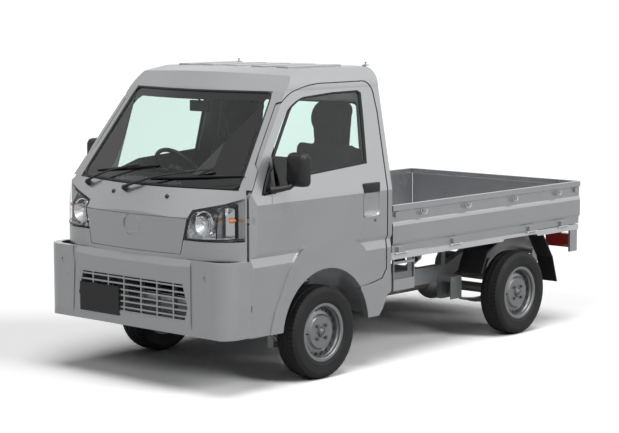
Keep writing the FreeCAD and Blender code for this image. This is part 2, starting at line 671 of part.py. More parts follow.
def wheels():
    """Four wheels: tyre, drilled steel rim with nuts, and the hub with its drum."""
    for end, x, track in AXLES:
        for name, side in SIDES:
            place = (x, side * track / 2, WHEEL_RADIUS)
            turned = 0 if side == LEFT else 180
            tyre = turned_body("tyre_%s_%s" % (end, name), tyre_outline())
            place_body(tyre, "tyre_%s_%s" % (end, name), place, turned)

            rim = turned_body("rim_%s_%s" % (end, name), rim_outline())
            holes = rim.newObject("Sketcher::SketchObject", rim.Name + "_hole_sketch")
            plane = [item for item in rim.Origin.OriginFeatures if item.Role == "XZ_Plane"][0]
            holes.AttachmentSupport = [(plane, "")]
            holes.MapMode = "FlatFace"
            circle = Part.Circle(Vector(S.disc_hole_circle / 2, 0, 0), Vector(0, 0, 1),
                                 S.disc_hole_diameter / 2)
            holes.addGeometry(circle, False)
            before = rim.Shape.Volume
            pocket = rim.newObject("PartDesign::Pocket", rim.Name + "_hole")
            pocket.Profile = holes
            pocket.Type = "Length"
            pocket.Length = 45
            pocket.Reversed = True
            doc.recompute()
            if rim.Shape.Volume > before - 100:
                pocket.Reversed = False
                doc.recompute()
            ring = rim.newObject("PartDesign::PolarPattern", rim.Name + "_ring")
            ring.Originals = [pocket]
            axis = [item for item in rim.Origin.OriginFeatures if item.Role == "Y_Axis"][0]
            ring.Axis = (axis, [""])
            ring.Angle = 360
            ring.setExpression("Occurrences", "Sizes.disc_holes")
            rim.Tip = ring
            doc.recompute()
            place_body(rim, "rim_%s_%s" % (end, name), place, turned)
            hub(end, name, side, place)


def hub(end, name, side, place):
    """Hub flange, centre boss, four studs with nuts, and the brake drum or disc."""
    bore = S.hub_bore / 2 - S.seat_gap
    foot = -18 if end == "front" else -6
    outline = [(16, foot), (16, 48), (26, 52), (bore, 44), (bore, 37.7), (72, 37.7),
               (72, 30), (34, 26)]
    if end == "rear":
        outline += [(94, 18), (94, -2), (88, -2), (88, 12), (34, 12), (34, foot)]
    else:
        outline += [(34, 10), (112, 8), (112, -4), (40, -4), (34, foot)]
    turn = Part.Face(wire(lift(outline, lambda r, y: (r, y, 0))))
    turn = turn.revolve(Vector(0, 0, 0), Vector(0, 1, 0), 360)
    parts = [turn]
    for index in range(4):
        angle = math.radians(45 + 90 * index)
        x = S.bolt_circle / 2 * math.cos(angle)
        z = S.bolt_circle / 2 * math.sin(angle)
        parts.append(hexagon((x, 42.3, z), 10, 13))
    shape = join(parts)
    if side == RIGHT:
        shape.rotate(Vector(0, 0, 0), Vector(0, 0, 1), 180)
    shape.translate(Vector(*place))
    keep("hub_%s_%s" % (end, name), shape)


def hexagon(start, across, length):
    points = [(start[0] + across * math.cos(math.radians(60 * k)), start[1],
               start[2] + across * math.sin(math.radians(60 * k))) for k in range(6)]
    return Part.Face(wire(points)).extrude(Vector(0, length, 0))


# ------------------------------------------------------------------ chassis

KINGPIN_FOOT = (FRONT_AXLE_X + 5, S.kingpin_offset, S.kingpin_foot)
STRUT_TOP_Z = 672.0
BOOT_RADIUS = 58.0
KINGPIN_TOP = (FRONT_AXLE_X - 26, KINGPIN_FOOT[1]
               - (STRUT_TOP_Z - S.kingpin_foot) * math.tan(math.radians(S.kingpin_lean)),
               STRUT_TOP_Z)
RAIL_IN = S.rail_centre - S.rail_width / 2
RAIL_OUT = S.rail_centre + S.rail_width / 2
RAIL_TOP = S.rail_bottom + S.rail_height
RAIL_FRONT = 1540.0
RAIL_REAR = TAIL_X + 50
KICK_TOP = RAIL_TOP + S.rail_kick
KICK_FOOT = S.rail_bottom + S.rail_kick
STRINGER_TOP = 600.0


def rail_outline(inset):
    low, high = S.rail_bottom + inset, RAIL_TOP - inset
    low_back, high_back = KICK_FOOT + inset, KICK_TOP - inset
    return [(RAIL_FRONT, low), (-640 + inset / 3, low), (-886 + inset / 3, low_back),
            (RAIL_REAR, low_back), (RAIL_REAR, high_back), (-915 - inset / 3, high_back),
            (-660 - inset / 3, high), (RAIL_FRONT, high)]


def frame():
    """Ladder frame: two channel rails kicked up over the axle, and crossmembers."""
    wall = S.rail_wall
    rail = slab_y(rail_outline(0), RAIL_IN, RAIL_OUT)
    rail = rail.cut(slab_y(rail_outline(wall), RAIL_IN - 1, RAIL_OUT - wall))
    members = [rail, mirrored(rail)]
    low, high = S.rail_bottom, RAIL_TOP
    for x, z0, z1 in ((RAIL_FRONT - 40, low, high), (1240, low, low + 60), (60, low + 36, high),
                      (-420, low + 36, high), (-1300, KICK_FOOT, KICK_TOP),
                      (RAIL_REAR + 30, KICK_FOOT, KICK_TOP)):
        reach = RAIL_OUT - wall
        beam = box(x - 30, x + 30, -reach, reach, z0 + wall, z1 - wall)
        bore = box(x - 30 + wall, x + 30 - wall, -reach - 1, reach + 1, z0 + 2 * wall,
                   z1 - 2 * wall)
        members.append(beam.cut(bore))
    for x0, x1, z0, z1 in ((-1480, -1440, KICK_TOP, STRINGER_TOP),
                           (-1130, -1090, KICK_TOP, STRINGER_TOP),
                           (-640, -600, high, STRINGER_TOP), (-300, -260, high, STRINGER_TOP),
                           (60, 100, high, STRINGER_TOP)):
        post = box(x0, x1, RAIL_IN, RAIL_OUT, z0, z1)
        members.append(both(post.cut(box(x0 - 1, x1 + 1, RAIL_IN - 1, RAIL_OUT - wall, z0,
                                         z1 - wall))))
    spring_in = S.spring_track + S.spring_width / 2 + 3
    for x0, x1, z0, z1 in ((-672, -560, 256, low + 40), (-1500, -1440, 392, KICK_FOOT + 30)):
        for y0, y1 in ((RAIL_OUT, spring_in + 6),):
            hanger = box(x0, x1, y0, y1, z0, z1)
            slot = box(x0 - 1, x1 + 1, S.spring_track - S.spring_width / 2 - 3, spring_in,
                       z0 - 1, low + 10 if x0 > -1000 else KICK_FOOT + 5)
            members.append(both(hanger.cut(slot)))
    cab_mounts = [box(x - 25, x + 25, RAIL_IN, RAIL_OUT, high + S.seat_gap, cab_floor_foot(x))
                  for x in (1150, 640, 370)]
    horn = slab_z([(1500, RAIL_IN), (1640, RAIL_IN), (1640, RAIL_OUT), (1500, RAIL_OUT)],
                  low + 25, high - 25)
    members.append(both(horn))
    eye_x, eye_z = RAIL_REAR + 47.5, KICK_FOOT - 25
    eye = slab_y([(eye_x - 45, KICK_FOOT + 2), (eye_x + 45, KICK_FOOT + 2),
                  (eye_x + 28, eye_z - 25), (eye_x - 28, eye_z - 25)],
                 S.rail_centre - S.tow_eye_width / 2, S.rail_centre + S.tow_eye_width / 2)
    members.append(both(eye.cut(rod((eye_x, 0, eye_z), (eye_x, FAR, eye_z),
                                    S.tow_eye_bore / 2))))
    keep("frame", Part.makeCompound([join(members)] + [both(mount) for mount in cab_mounts]))


def cab_floor_foot(x):
    """Underside of the cab floor above a point on the rails."""
    if x < S.seat_box_front - 20:
        return S.seat_box_height - S.sheet_metal
    return S.floor_height + 50 - S.sheet_metal


def cab_floor():
    """Footwell, seat box and the two wheel houses, pressed in sheet."""
    t = S.sheet_metal
    low = S.floor_height + 50
    high = S.seat_box_height
    front = S.seat_box_front
    side = HALF_WIDTH - S.door_wall - 8
    back = S.cab_back + S.back_wall + S.seat_gap
    pan = slab_y([(1588, low), (front, low), (front, high), (back, high), (back, high - t),
                  (front - t, high - t), (front - t, low - t), (1588, low - t)], -side, side)
    toe = slab_y([(1588, low - t), (1588, low + 40), (1560, low + 40), (1500, low)],
                 -side, side).common(inner)
    liner = Part.makeCylinder(S.arch_radius + 12, side - S.wheelhouse_inner,
                              Vector(ARCH_X, S.wheelhouse_inner, ARCH_Z), Vector(0, 1, 0))
    bore = Part.makeCylinder(S.arch_radius + 6, side - S.wheelhouse_inner - t + 1,
                             Vector(ARCH_X, S.wheelhouse_inner + t, ARCH_Z), Vector(0, 1, 0))
    liner = liner.cut(bore).common(box(0, FAR, 0, FAR, 330, high - 1))
    liner = liner.cut(box(ARCH_X - 160, ARCH_X + 160, S.wheelhouse_inner - 1,
                          S.wheelhouse_inner + t + 1, 0, 520))
    floor = join([pan, toe, both(liner)])
    space = Part.makeCylinder(S.arch_radius + 6, FAR, Vector(ARCH_X, S.wheelhouse_inner + t,
                                                           ARCH_Z), Vector(0, 1, 0))
    sill = both(box(1262, 1480, side - 24, side, 322, low - t + 0.5))
    tower = rod(KINGPIN_FOOT, KINGPIN_TOP, BOOT_RADIUS + S.seat_gap)
    floor = floor.cut([space, mirrored(space), tower, mirrored(tower)]).fuse(sill)
    rails = both(box(back - 20, RAIL_FRONT + 1, RAIL_IN - 3, RAIL_OUT + 3, 0, RAIL_TOP + 0.2))
    keep("cab_floor", floor.cut(rails))


def engine_and_driveline():
    """Engine as one plain block, gearbox and prop shaft running aft."""
    engine = bound("Part::Box", "engine", Length="Sizes.engine_length",
                   Width="Sizes.engine_width", Height="Sizes.engine_height")
    engine.Placement = Placement(Vector(470, -S.engine_width / 2, 350), Rotation())
    engine.Label = "engine"
    nodes["engine"] = engine
    gearbox = join([rod((469.7, 0, 450), (430, 0, 450), 160),
                    Part.makeCone(140, 60, 290, Vector(430, 0, 450), Vector(-1, 0, -0.4)),
                    box(180, 420, -70, 70, 320, 400)])
    shaft = rod((150, 0, 336), (-840, 0, 282), 30)
    ends = [Part.makeSphere(40, Vector(-842, 0, 282)), Part.makeSphere(40, Vector(150, 0, 336))]
    mounts = [box(250, 330, -RAIL_IN - S.rail_width + S.rail_wall + 0.3,
                  RAIL_IN + S.rail_width - S.rail_wall - 0.3, 366, 380)]
    keep("driveline", join([gearbox, shaft] + ends + mounts))


def rear_axle():
    """Live axle: tubes, differential bulb, backing plates and stub ends."""
    x, z = REAR_AXLE_X, WHEEL_RADIUS
    end = S.track_rear / 2
    pieces = [rod((x, -end + 45, z), (x, end - 45, z), S.axle_tube_radius),
              Part.makeSphere(112, Vector(x + 10, 0, z)),
              rod((x + 90, 0, z), (x + 136, 0, z + 8), 46)]
    for side in (LEFT, RIGHT):
        pieces.append(rod((x, side * (end - 45), z), (x, side * (end + 24), z), 15.6))
        pieces.append(rod((x, side * (end - 16), z), (x, side * (end - 10), z), 92))
        seat = box(x - 30, x + 30, side * 440, side * 500, z - 38, z - 20)
        pieces.append(seat)
    keep("rear_axle", join(pieces))


SPRING_EYES = ((-641, 281), (-1430, 345))


def circle_through(a, b, c):
    """Centre and radius of the circle through three points."""
    (ax, ay), (bx, by), (cx, cy) = a, b, c
    span = 2 * (ax * (by - cy) + bx * (cy - ay) + cx * (ay - by))
    squares = [px * px + py * py for px, py in (a, b, c)]
    x = (squares[0] * (by - cy) + squares[1] * (cy - ay) + squares[2] * (ay - by)) / span
    y = (squares[0] * (cx - bx) + squares[1] * (ax - cx) + squares[2] * (bx - ax)) / span
    return (x, y), math.hypot(ax - x, ay - y)


def rear_suspension():
    """Leaf springs below the axle with eyes, shackles, bolts and dampers."""
    pieces = []
    y = S.spring_track
    half = S.spring_width / 2 - 3
    mid_z = WHEEL_RADIUS - 40.3
    front, rear = SPRING_EYES
    centre, radius = circle_through((front[0], front[1] - 10), (REAR_AXLE_X, mid_z),
                                    (rear[0], rear[1] - 10))
    for leaf, trim in enumerate((0, 90, 190, 280)):
        outer_r, inner_r = radius + 8 * (leaf + 1), radius + 8 * leaf
        ring = Part.makeCylinder(outer_r, 2 * half, Vector(centre[0], y - half, centre[1]),
                                 Vector(0, 1, 0))
        ring = ring.cut(Part.makeCylinder(inner_r, 2 * half, Vector(
            centre[0], y - half, centre[1]), Vector(0, 1, 0)))
        pieces.append(ring.common(box(rear[0] + trim, front[0] - trim, 0, FAR, 100, 420)))
    for x, z in SPRING_EYES:
        pieces.append(rod((x, y - half, z), (x, y + half, z), 20))
        pieces.append(rod((x, y - half - 5.7, z), (x, y + half + 5.7, z), 8))
    for x in (REAR_AXLE_X - 38, REAR_AXLE_X + 38):
        pieces.append(box(x - 6, x + 6, y - half - 2, y + half + 2, mid_z - 46, mid_z - 2))
    pieces.append(box(REAR_AXLE_X - 50, REAR_AXLE_X + 50, y - half - 1, y + half + 1,
                      mid_z - 42, mid_z - 24))
    for shift in (-half - 2.8, half - 3.2):
        pieces.append(slab_y([(-1446, 335), (-1414, 335), (-1452, 432), (-1484, 432)],
                             y + shift, y + shift + 6))
    pieces.append(rod((-1468, y - half - 5.7, 420), (-1468, y + half + 5.7, 420), 8))
    keep("rear_suspension", both(join(pieces)))


ARM_END = (FRONT_AXLE_X - 116, KINGPIN_FOOT[1] - 15, 262)
RACK_X, RACK_Z = FRONT_AXLE_X - 112, 236
TIE_ROD_REACH, TIE_ROD_FOOT = 530, 221


def on_kingpin(z):
    """Point of the left steering axis at a height."""
    share = (z - KINGPIN_FOOT[2]) / (KINGPIN_TOP[2] - KINGPIN_FOOT[2])
    return tuple(a + (b - a) * share for a, b in zip(KINGPIN_FOOT, KINGPIN_TOP))


def knuckle(name, side):
    """Steering knuckle: spindle, ball-joint boss, caliper, arm and strut tube."""
    x, z = FRONT_AXLE_X, WHEEL_RADIUS
    centre_y = S.track_front / 2
    foot_x, foot_y, foot_z = KINGPIN_FOOT
    body = join([
        rod((x, centre_y - 92, z), (x, centre_y - 24, z), 34),
        rod((x, centre_y - 60, z), (x, centre_y + 30, z), 15.6),
        rod(on_kingpin(foot_z + 10), on_kingpin(foot_z + 30), 16),
        rod((foot_x, foot_y - 12, foot_z + 24), (x, centre_y - 70, z - 20), 18),
        rod((x, centre_y - 72, z), (x + 4, 545, 326), 20),
        rod((x + 4, 545, 318), on_kingpin(400), 20),
        rod(on_kingpin(396), KINGPIN_TOP, 20),
        rod((x - 30, centre_y - 80, z - 14), ARM_END, 11),
        rod((ARM_END[0], ARM_END[1], ARM_END[2] - 12), (ARM_END[0], ARM_END[1],
                                                       ARM_END[2] + 12), 15),
    ])
    disc_space = tube((x, centre_y - 12, z), (x, centre_y + 60, z), 125, 15.8)
    caliper = slab_x([(centre_y - 34, z + 58), (centre_y + 18, z + 58),
                      (centre_y + 18, z + 122), (centre_y - 34, z + 122)], x + 6, x + 58)
    caliper = caliper.cut(slab_y([(x - 10, z), (x + 90, z), (x + 90, z + 118),
                                  (x - 10, z + 118)], centre_y - 10, centre_y + 14))
    lug = rod((x + 40, centre_y - 30, z + 70), (x + 10, centre_y - 70, z + 10), 12)
    body = body.cut(disc_space).fuse(join([caliper.cut(box(0, FAR, centre_y + 11, FAR, 0, FAR)),
                                           lug.cut(disc_space)]))
    keep(name, on_side(body, side))


def front_suspension():
    """Lower arms, strut towers with their booted springs, and an anti-roll bar."""
    foot_x, foot_y, foot_z = KINGPIN_FOOT
    top = Vector(*KINGPIN_TOP)
    line = top - Vector(foot_x, foot_y, foot_z)
    line.normalize()
    arm = slab_z([(foot_x - 22, foot_y + 14), (foot_x + 22, foot_y + 14),
                  (foot_x + 40, 402), (foot_x + 70, RAIL_OUT - 10), (foot_x - 204, RAIL_OUT - 10),
                  (foot_x - 204, RAIL_OUT + 26), (foot_x - 30, 470)],
                 foot_z - 14, foot_z + 4)
    window = slab_z([(foot_x - 8, 540), (foot_x + 8, 540), (foot_x + 20, 430),
                     (foot_x - 90, 415)], foot_z - 20, foot_z + 20)
    arm = join([arm.cut(window), rod(on_kingpin(foot_z - 4), on_kingpin(foot_z + 9.7), 12)])
    for x in (foot_x + 50, foot_x - 183):
        arm = arm.fuse(rod((x - 22, RAIL_OUT - 12, foot_z), (x + 22, RAIL_OUT - 12, foot_z), 16))
        arm = arm.fuse(box(x - 30, x - 24, RAIL_IN + 4, RAIL_OUT, foot_z - 18,
                           S.rail_bottom - 0.3))
        arm = arm.fuse(box(x + 24, x + 30, RAIL_IN + 4, RAIL_OUT, foot_z - 18,
                           S.rail_bottom - 0.3))
        arm = arm.fuse(rod((x - 30, RAIL_OUT - 12, foot_z), (x + 30, RAIL_OUT - 12, foot_z), 8))
    start = top - line * 168
    rings = [(32, 0)]
    turns = 6
    for k in range(turns):
        z = 16 + k * 22
        rings += [(44, z), (52, z + 7), (44, z + 14)]
    rings += [(BOOT_RADIUS, 158), (BOOT_RADIUS, 167), (32, 167)]
    boot = Part.Face(wire(lift(rings, lambda r, z: (r, 0, z))))
    boot = boot.revolve(Vector(0, 0, 0), Vector(0, 0, 1), 360)
    boot.Placement = Placement(start, Rotation(Vector(0, 0, 1), line))
    boot = boot.common(box(0, FAR, 0, FAR, 0, S.seat_box_height - S.sheet_metal))
    pieces = [both(arm), both(boot)]
    bar_x = foot_x + 130
    pieces.append(rod((bar_x, -330, 300), (bar_x, 330, 300), 11))
    for side in (LEFT, RIGHT):
        pieces.append(rod((bar_x, side * 330, 300), (foot_x + 45, side * 440, foot_z + 3), 11))
        pieces.append(box(bar_x - 14, bar_x + 14, side * 326, side * 366, 290,
                          S.rail_bottom - 0.3))
    keep("front_suspension", join(pieces))


def steering():
    """Rack with tie rods, its housing, and the steering wheel on its column."""
    reach, foot = TIE_ROD_REACH, TIE_ROD_FOOT
    rack = [rod((RACK_X, -360, RACK_Z), (RACK_X, 360, RACK_Z), 12)]
    for side in (LEFT, RIGHT):
        rack.append(Part.makeSphere(17, Vector(RACK_X, side * 360, RACK_Z)))
        rack.append(rod((RACK_X, side * 360, RACK_Z), (ARM_END[0], side * reach, foot), 9))
        rack.append(rod((ARM_END[0], side * reach, foot - 10),
                        (ARM_END[0], side * reach, foot + 12), 14))
    keep("steering_rack", join(rack))
    housing = tube((RACK_X, -250, RACK_Z), (RACK_X, 250, RACK_Z), 28, 12.3)
    clamps = [box(RACK_X - 20, RACK_X + 20, y - 15, y + 15, RACK_Z + 20, 300) for y in (-200, 200)]
    beam = box(RACK_X - 30, RACK_X + 30, -RAIL_OUT + 8, RAIL_OUT - 8, 300, 316)
    legs = [box(RACK_X - 30, RACK_X + 30, side * (RAIL_OUT - 8), side * (RAIL_IN + 8), 300,
                S.rail_bottom - 0.3) for side in (LEFT, RIGHT)]
    keep("rack_housing", join([housing, beam] + clamps + legs))

    centre = Vector(964.5, -S.seat_centre, 1122)
    lean = Rotation(Vector(0, 1, 0), S.column_angle - 90 + 0.001)
    radius = S.steering_wheel_diameter / 2 - S.steering_wheel_rim / 2
    ring = Part.makeTorus(radius, S.steering_wheel_rim / 2)
    pad = Part.makeCone(62, 70, 26, Vector(0, 0, -34), Vector(0, 0, 1))
    spokes = []
    for angle in (8, 172, 270):
        spoke = box(40, radius, -16, 16, -22, -8)
        spoke.rotate(Vector(0, 0, 0), Vector(0, 0, 1), angle)
        spokes.append(spoke)
    boss = rod((0, 0, -86), (0, 0, -30), 22)
    wheel = join([ring, pad, boss] + spokes)
    wheel.rotate(Vector(0, 0, 0), Vector(0, 0, 1), -90)
    wheel.Placement = Placement(centre, lean).multiply(wheel.Placement)
    keep("steering_wheel", wheel)
    axis = lean.multVec(Vector(0, 0, 1))
    return centre, axis


DASH_UNDERSIDE = ((1315, 940), (1550, 980))


def dashboard(centre, axis):
    """Moulded dashboard with its binnacle, lower pads and the column shroud."""
    back = 1195
    side = HALF_WIDTH - S.door_wall - 14
    profile = [(back + 40, 800), (back, 850), (back, 1010), (back + 22, 1052),
               (back + 120, 1078), (1440, 1086), (1550, 1060),
               DASH_UNDERSIDE[1], DASH_UNDERSIDE[0], (back + 110, 800)]
    plan = [(back - 20, -side), (1436, -side), (1480, -560), (1520, -420), (1545, 0),
            (1520, 420), (1480, 560), (1436, side), (back - 20, side)]
    board = slab_y(profile, -side, side).common(slab_z(plan, 700, 1200))
    trims = [slab_y([(back + 30, 1046), (back + 60, 1128), (back + 170, 1118),
                     (back + 200, 1080)], -S.seat_centre - 150, -S.seat_centre + 150),
             box(back - 14, back + 20, -110, 110, 800, 1030),
             box(back + 12, 1330, -80, 80, 486.3, 815)]
    glove = box(back - 1, back + 4, 180, 540, 880, 990)
    board = join([board] + trims).cut(glove)
    across = Vector(-axis.z, 0, axis.x)
    corners = [centre - axis * reach + across * half
               for reach, half in ((87, -38), (87, 34), (257, 46), (257, -52))]
    shroud = slab_y([(corner.x, corner.z) for corner in corners],
                    -S.seat_centre - 44, -S.seat_centre + 44)
    shaft = rod(tuple(centre - axis * 242), (1260, -S.seat_centre + 40, 560), 12)
    board = join([board, shroud, shaft])
    gear = box(1230, 1290, -S.seat_centre + 10, -S.seat_centre + 70,
               S.floor_height + 50 + S.seat_gap, 570)
    keep("dashboard", join([board, gear]))


def seats():
    """Two cushions and two high backs with joined head restraints."""
    cushions, backs = [], []
    half = S.seat_width / 2
    top = S.seat_box_height
    for side in (LEFT, RIGHT):
        y = side * S.seat_centre
        cushion = slab_y([(560, top + 0.3), (1010, top + 0.3), (1050, top + 60),
                          ("arc", (1040, top + 118), (980, top + 124)), (600, top + 96),
                          (560, top + 60)], y - half, y + half)
        cushions.append(cushion.makeFillet(16, long_edges(cushion, y, half)))
        back = slab_y([(455, top + 0.3), (556, top + 0.3), (553, top + 100), (500, 1262),
                       ("arc", (470, 1300), (428, 1290)), (350, 1270), (345, 1200)],
                      y - half + 10, y + half - 10)
        rest = slab_y([(352, 1260), (448, 1260), (462, 1400), ("arc", (452, 1530), (400, 1560)),
                       ("arc", (345, 1545), (335, 1480))], y - 120, y + 120)
        back = back.makeFillet(16, long_edges(back, y, half - 10))
        rest = rest.makeFillet(26, long_edges(rest, y, 120))
        backs.append(back.fuse(rest))
    keep("seat_cushions", Part.makeCompound(cushions))
    keep("seat_backs", Part.makeCompound(backs))


def long_edges(shape, y, half):
    """Edges lying wholly on either flat side of a slab."""
    chosen = []
    for edge in shape.Edges:
        bound_box = edge.BoundBox
        if bound_box.YLength < 0.01 and abs(abs(bound_box.YMin - y) - half) < 0.01:
            chosen.append(edge)
    return chosen


def cabin_fittings():
    """Inner mirror with its camera pod, visors, gear and brake levers, pedals."""
    pod = slab_y([(1128, 1612), (1168, 1606), (1120, 1660), (1105, 1665)], -60, 60)
    mirror = box(1050, 1064, -170, -10, 1500, 1565)
    mirror = mirror.makeFillet(6, mirror.Edges)
    stalk = rod((1058, -90, 1550), (1118, -40, 1700), 7)
    visors = [box(890, 1030, y - 170, y + 170, 1672, 1686) for y in (-300, 300)]
    room = cab_block(S.door_wall, S.pillar_wall, S.roof_wall + S.seat_gap, S.back_wall,
                     S.front_wall, S.cab_bottom)
    top = [join([pod, stalk, mirror]).common(room)]
    pins = [rod((905, y, 1680), (905, y, 1760), 8).common(room) for y in (-300, 300)]
    lever = join([rod((1120, 60, 696.3), (1080, 40, 880), 10),
                  Part.makeSphere(22, Vector(1080, 40, 890)),
                  Part.makeCone(60, 30, 50, Vector(1118, 60, 690.3), Vector(0, 0, 1))])
    brake = join([box(700, 1000, -40, -10, 690.3, 720), rod((740, -25, 715), (1000, -25, 800),
                                                           14)])
    (front, foot), (back, rise) = DASH_UNDERSIDE
    above = slab_y([(front, foot - S.seat_gap), (back, rise - S.seat_gap), (back, 1100),
                    (front, 1100)], -FAR, FAR)
    pedals = []
    for y in (-S.seat_centre - 90, -S.seat_centre + 20, -S.seat_centre + 110):
        arm = rod((1310, y, 600), (1376, y, 960), 8)
        pedals.append(join([box(1300, 1316, y - 32, y + 32, 560, 620), arm.cut(above)]))
    keep("cabin_fittings", Part.makeCompound(
        [solid for piece in top + [v.fuse(p) for v, p in zip(visors, pins)]
         + [lever, brake] + pedals for solid in piece.Solids]))


# ---------------------------------------------------------------------- bed

GATE_FACE = HALF_WIDTH - 9
HINGE_Y = HALF_WIDTH - S.hinge_radius
HINGE_Z = S.bed_floor_height - 1
GATE_FOOT = S.bed_floor_height + 6
GATE_TOP = S.bed_floor_height + S.gate_height
BED_REAR = S.bed_front - 18 - S.bed_inside_length
TAILGATE_HINGE_X = TAIL_X + S.hinge_radius
TAILGATE_FACE = TAIL_X + 9
SIDE_HINGES = (204, -324, -1122, -1478)
TAIL_HINGES = (-520, 0, 520)
HOOK_X = (-2, -437, -928, -1411)


def gate_profile(flip):
    """Pressed gate section (out, up): rail, channel, bulged panel, lower strip.

    The first coordinate runs from the inner face to the outer one."""
    t = S.gate_thickness
    foot, top = GATE_FOOT, GATE_TOP
    points = [(0, foot), (0, top - 33), (-4, top - 28), (-4, top), (t, top), (t, top - 33),
              (t - 9, top - 38), (t - 9, top - 98), (t - 3, top - 106), (t, top - 122),
              (t, foot + 62), (t - 3, foot + 50), (t - 10, foot + 42), (t - 10, foot)]
    return [(flip * u, v) for u, v in points]


def side_gate(name, side):
    """Side gate with hinge leaves and barrels, rope hooks and its front latch."""
    outline = [(side * (GATE_FACE - S.gate_thickness) + u, v) for u, v in gate_profile(side)]
    gate = padded_body("gate_%s_panel" % name, "YZ_Plane", outline,
                       "Sizes.bed_front - 8 + Sizes.overall_length / 2 - 26")
    panel = gate.Shape.copy()
    doc.removeObject(gate.Name)
    panel.translate(Vector(TAIL_X + 26 - panel.BoundBox.XMin, 0, 0))
    pieces = [panel]
    for x in SIDE_HINGES:
        pieces.append(rod((x - 34, HINGE_Y, HINGE_Z), (x + 34, HINGE_Y, HINGE_Z),
                          S.hinge_radius))
        pieces.append(box(x - 30, x + 30, GATE_FACE - 4, GATE_FACE + 5, HINGE_Z,
                          GATE_FOOT + 4))
        pieces.append(box(x - 30, x + 30, GATE_FACE - 12, GATE_FACE + 5, GATE_FOOT + 3,
                          GATE_FOOT + 30))
        pieces.append(rod((x - 54, HINGE_Y, HINGE_Z), (x + 54, HINGE_Y, HINGE_Z), 2.7))
    for x in HOOK_X:
        hook = join([rod((x, GATE_FACE - 12, 890), (x, HALF_WIDTH - 3.5, 890), 4),
                     rod((x, HALF_WIDTH - 6, 878), (x, HALF_WIDTH - 6, 902), 3.5)])
        pieces.append(hook)
    for x in (S.bed_front - 50, TAIL_X + 70):
        pieces.append(box(x - 24, x + 24, GATE_FACE - 12, HALF_WIDTH - 3, 872, 902))
    for index, piece in enumerate(pieces[1:], start=1):
        pieces[index] = on_side(piece, side)
    keep("gate_" + name, join(pieces))


def tailgate():
    """Tailgate with hinge barrels and two end latches."""
    outline = [(-(TAILGATE_FACE + S.gate_thickness) * 0 + u, v) for u, v in gate_profile(-1)]
    half = GATE_FACE - S.gate_thickness - S.gate_gap
    section = [(TAILGATE_FACE + S.gate_thickness + u, v) for u, v in outline]
    pieces = [slab_y(section, -half, half)]
    for y in TAIL_HINGES:
        pieces.append(rod((TAILGATE_HINGE_X, y - 34, HINGE_Z), (TAILGATE_HINGE_X, y + 34,
                                                               HINGE_Z), S.hinge_radius))
        pieces.append(box(TAILGATE_FACE - 5, TAILGATE_FACE + 4, y - 30, y + 30, HINGE_Z,
                          GATE_FOOT + 4))
        pieces.append(box(TAILGATE_FACE - 5, TAILGATE_FACE + 12, y - 30, y + 30,
                          GATE_FOOT + 3, GATE_FOOT + 30))
        pieces.append(rod((TAILGATE_HINGE_X, y - 54, HINGE_Z),
                          (TAILGATE_HINGE_X, y + 54, HINGE_Z), 2.7))
    for y in (-half + 40, half - 40):
        pieces.append(box(TAIL_X + 3, TAILGATE_FACE + 12, y - 26, y + 26, 872, 902))
    keep("tailgate", join(pieces))


def hinge_lug(inner_edge, pin):
    """Outline of a hinge lug: a tongue from the bed's edge round its pin."""
    radius = S.hinge_radius - 0.2
    out = radius if pin > inner_edge else -radius
    return [(inner_edge, HINGE_Z - radius), (pin, HINGE_Z - radius),
            ("arc", (pin + out, HINGE_Z), (pin, HINGE_Z + radius)),
            (pin - out, HINGE_Z), (inner_edge, HINGE_Z - 2)]


def bed_floor():
    """Ribbed floor on hat-section crossmembers, with its two outer sills."""
    top = S.bed_floor_height
    front, rear = S.bed_front, BED_REAR + 4
    side = HALF_WIDTH - 16
    sheet = box(rear, front, -side, side, top - 5, top)
    count = 11
    pitch = 2 * (side - 60) / count
    grooves = [box(rear + 40, front - 60, -side + 60 + pitch * (k + 0.3),
                   -side + 60 + pitch * (k + 0.7), top - 2, top + 1) for k in range(count)]
    sheet = sheet.cut(grooves)
    sill = box(rear, front, side - 46, side, S.sill_bottom, top - 4)
    sill = sill.cut(box(rear - 1, front + 1, side - 47, side - 4, S.sill_bottom - 1, top - 9))
    notch = slab_y([(-815, S.sill_bottom - 1), (-835, S.sill_bottom + 14),
                    (-1185, S.sill_bottom + 14), (-1205, S.sill_bottom - 1)], side - 60,
                   side + 1)
    pieces = [sheet, both(sill.cut(notch))]
    for x in (190, -150, -490, -800, -1246, -1530):
        hat = box(x - 35, x + 35, -side + 4, side - 4, STRINGER_TOP + 20, top - 4)
        hat = hat.cut(box(x - 30, x + 30, -side, side, STRINGER_TOP + 19, top - 9))
        pieces.append(hat)
    stringer = box(BED_REAR + 30, front - 30, RAIL_IN, RAIL_OUT, STRINGER_TOP + 0.3,
                   STRINGER_TOP + 25)
    pieces.append(both(stringer))
    rear_sill = box(rear - 12, rear + 2, -side + 20, side - 20, S.sill_bottom - 20, top - 8)
    pieces.append(rear_sill)
    for x in SIDE_HINGES:
        for step in (-55, 36):
            lug = slab_x(hinge_lug(side - 8, HINGE_Y), x + step, x + step + 19)
            pieces.append(both(lug.cut(rod((x - 60, HINGE_Y, HINGE_Z),
                                           (x + 60, HINGE_Y, HINGE_Z), 3))))
    for y in TAIL_HINGES:
        for step in (-55, 36):
            lug = slab_y(hinge_lug(rear + 4, TAILGATE_HINGE_X), y + step, y + step + 19)
            pieces.append(lug.cut(rod((TAILGATE_HINGE_X, y - 60, HINGE_Z),
                                      (TAILGATE_HINGE_X, y + 60, HINGE_Z), 3)))
    keep("bed_floor", join(pieces))


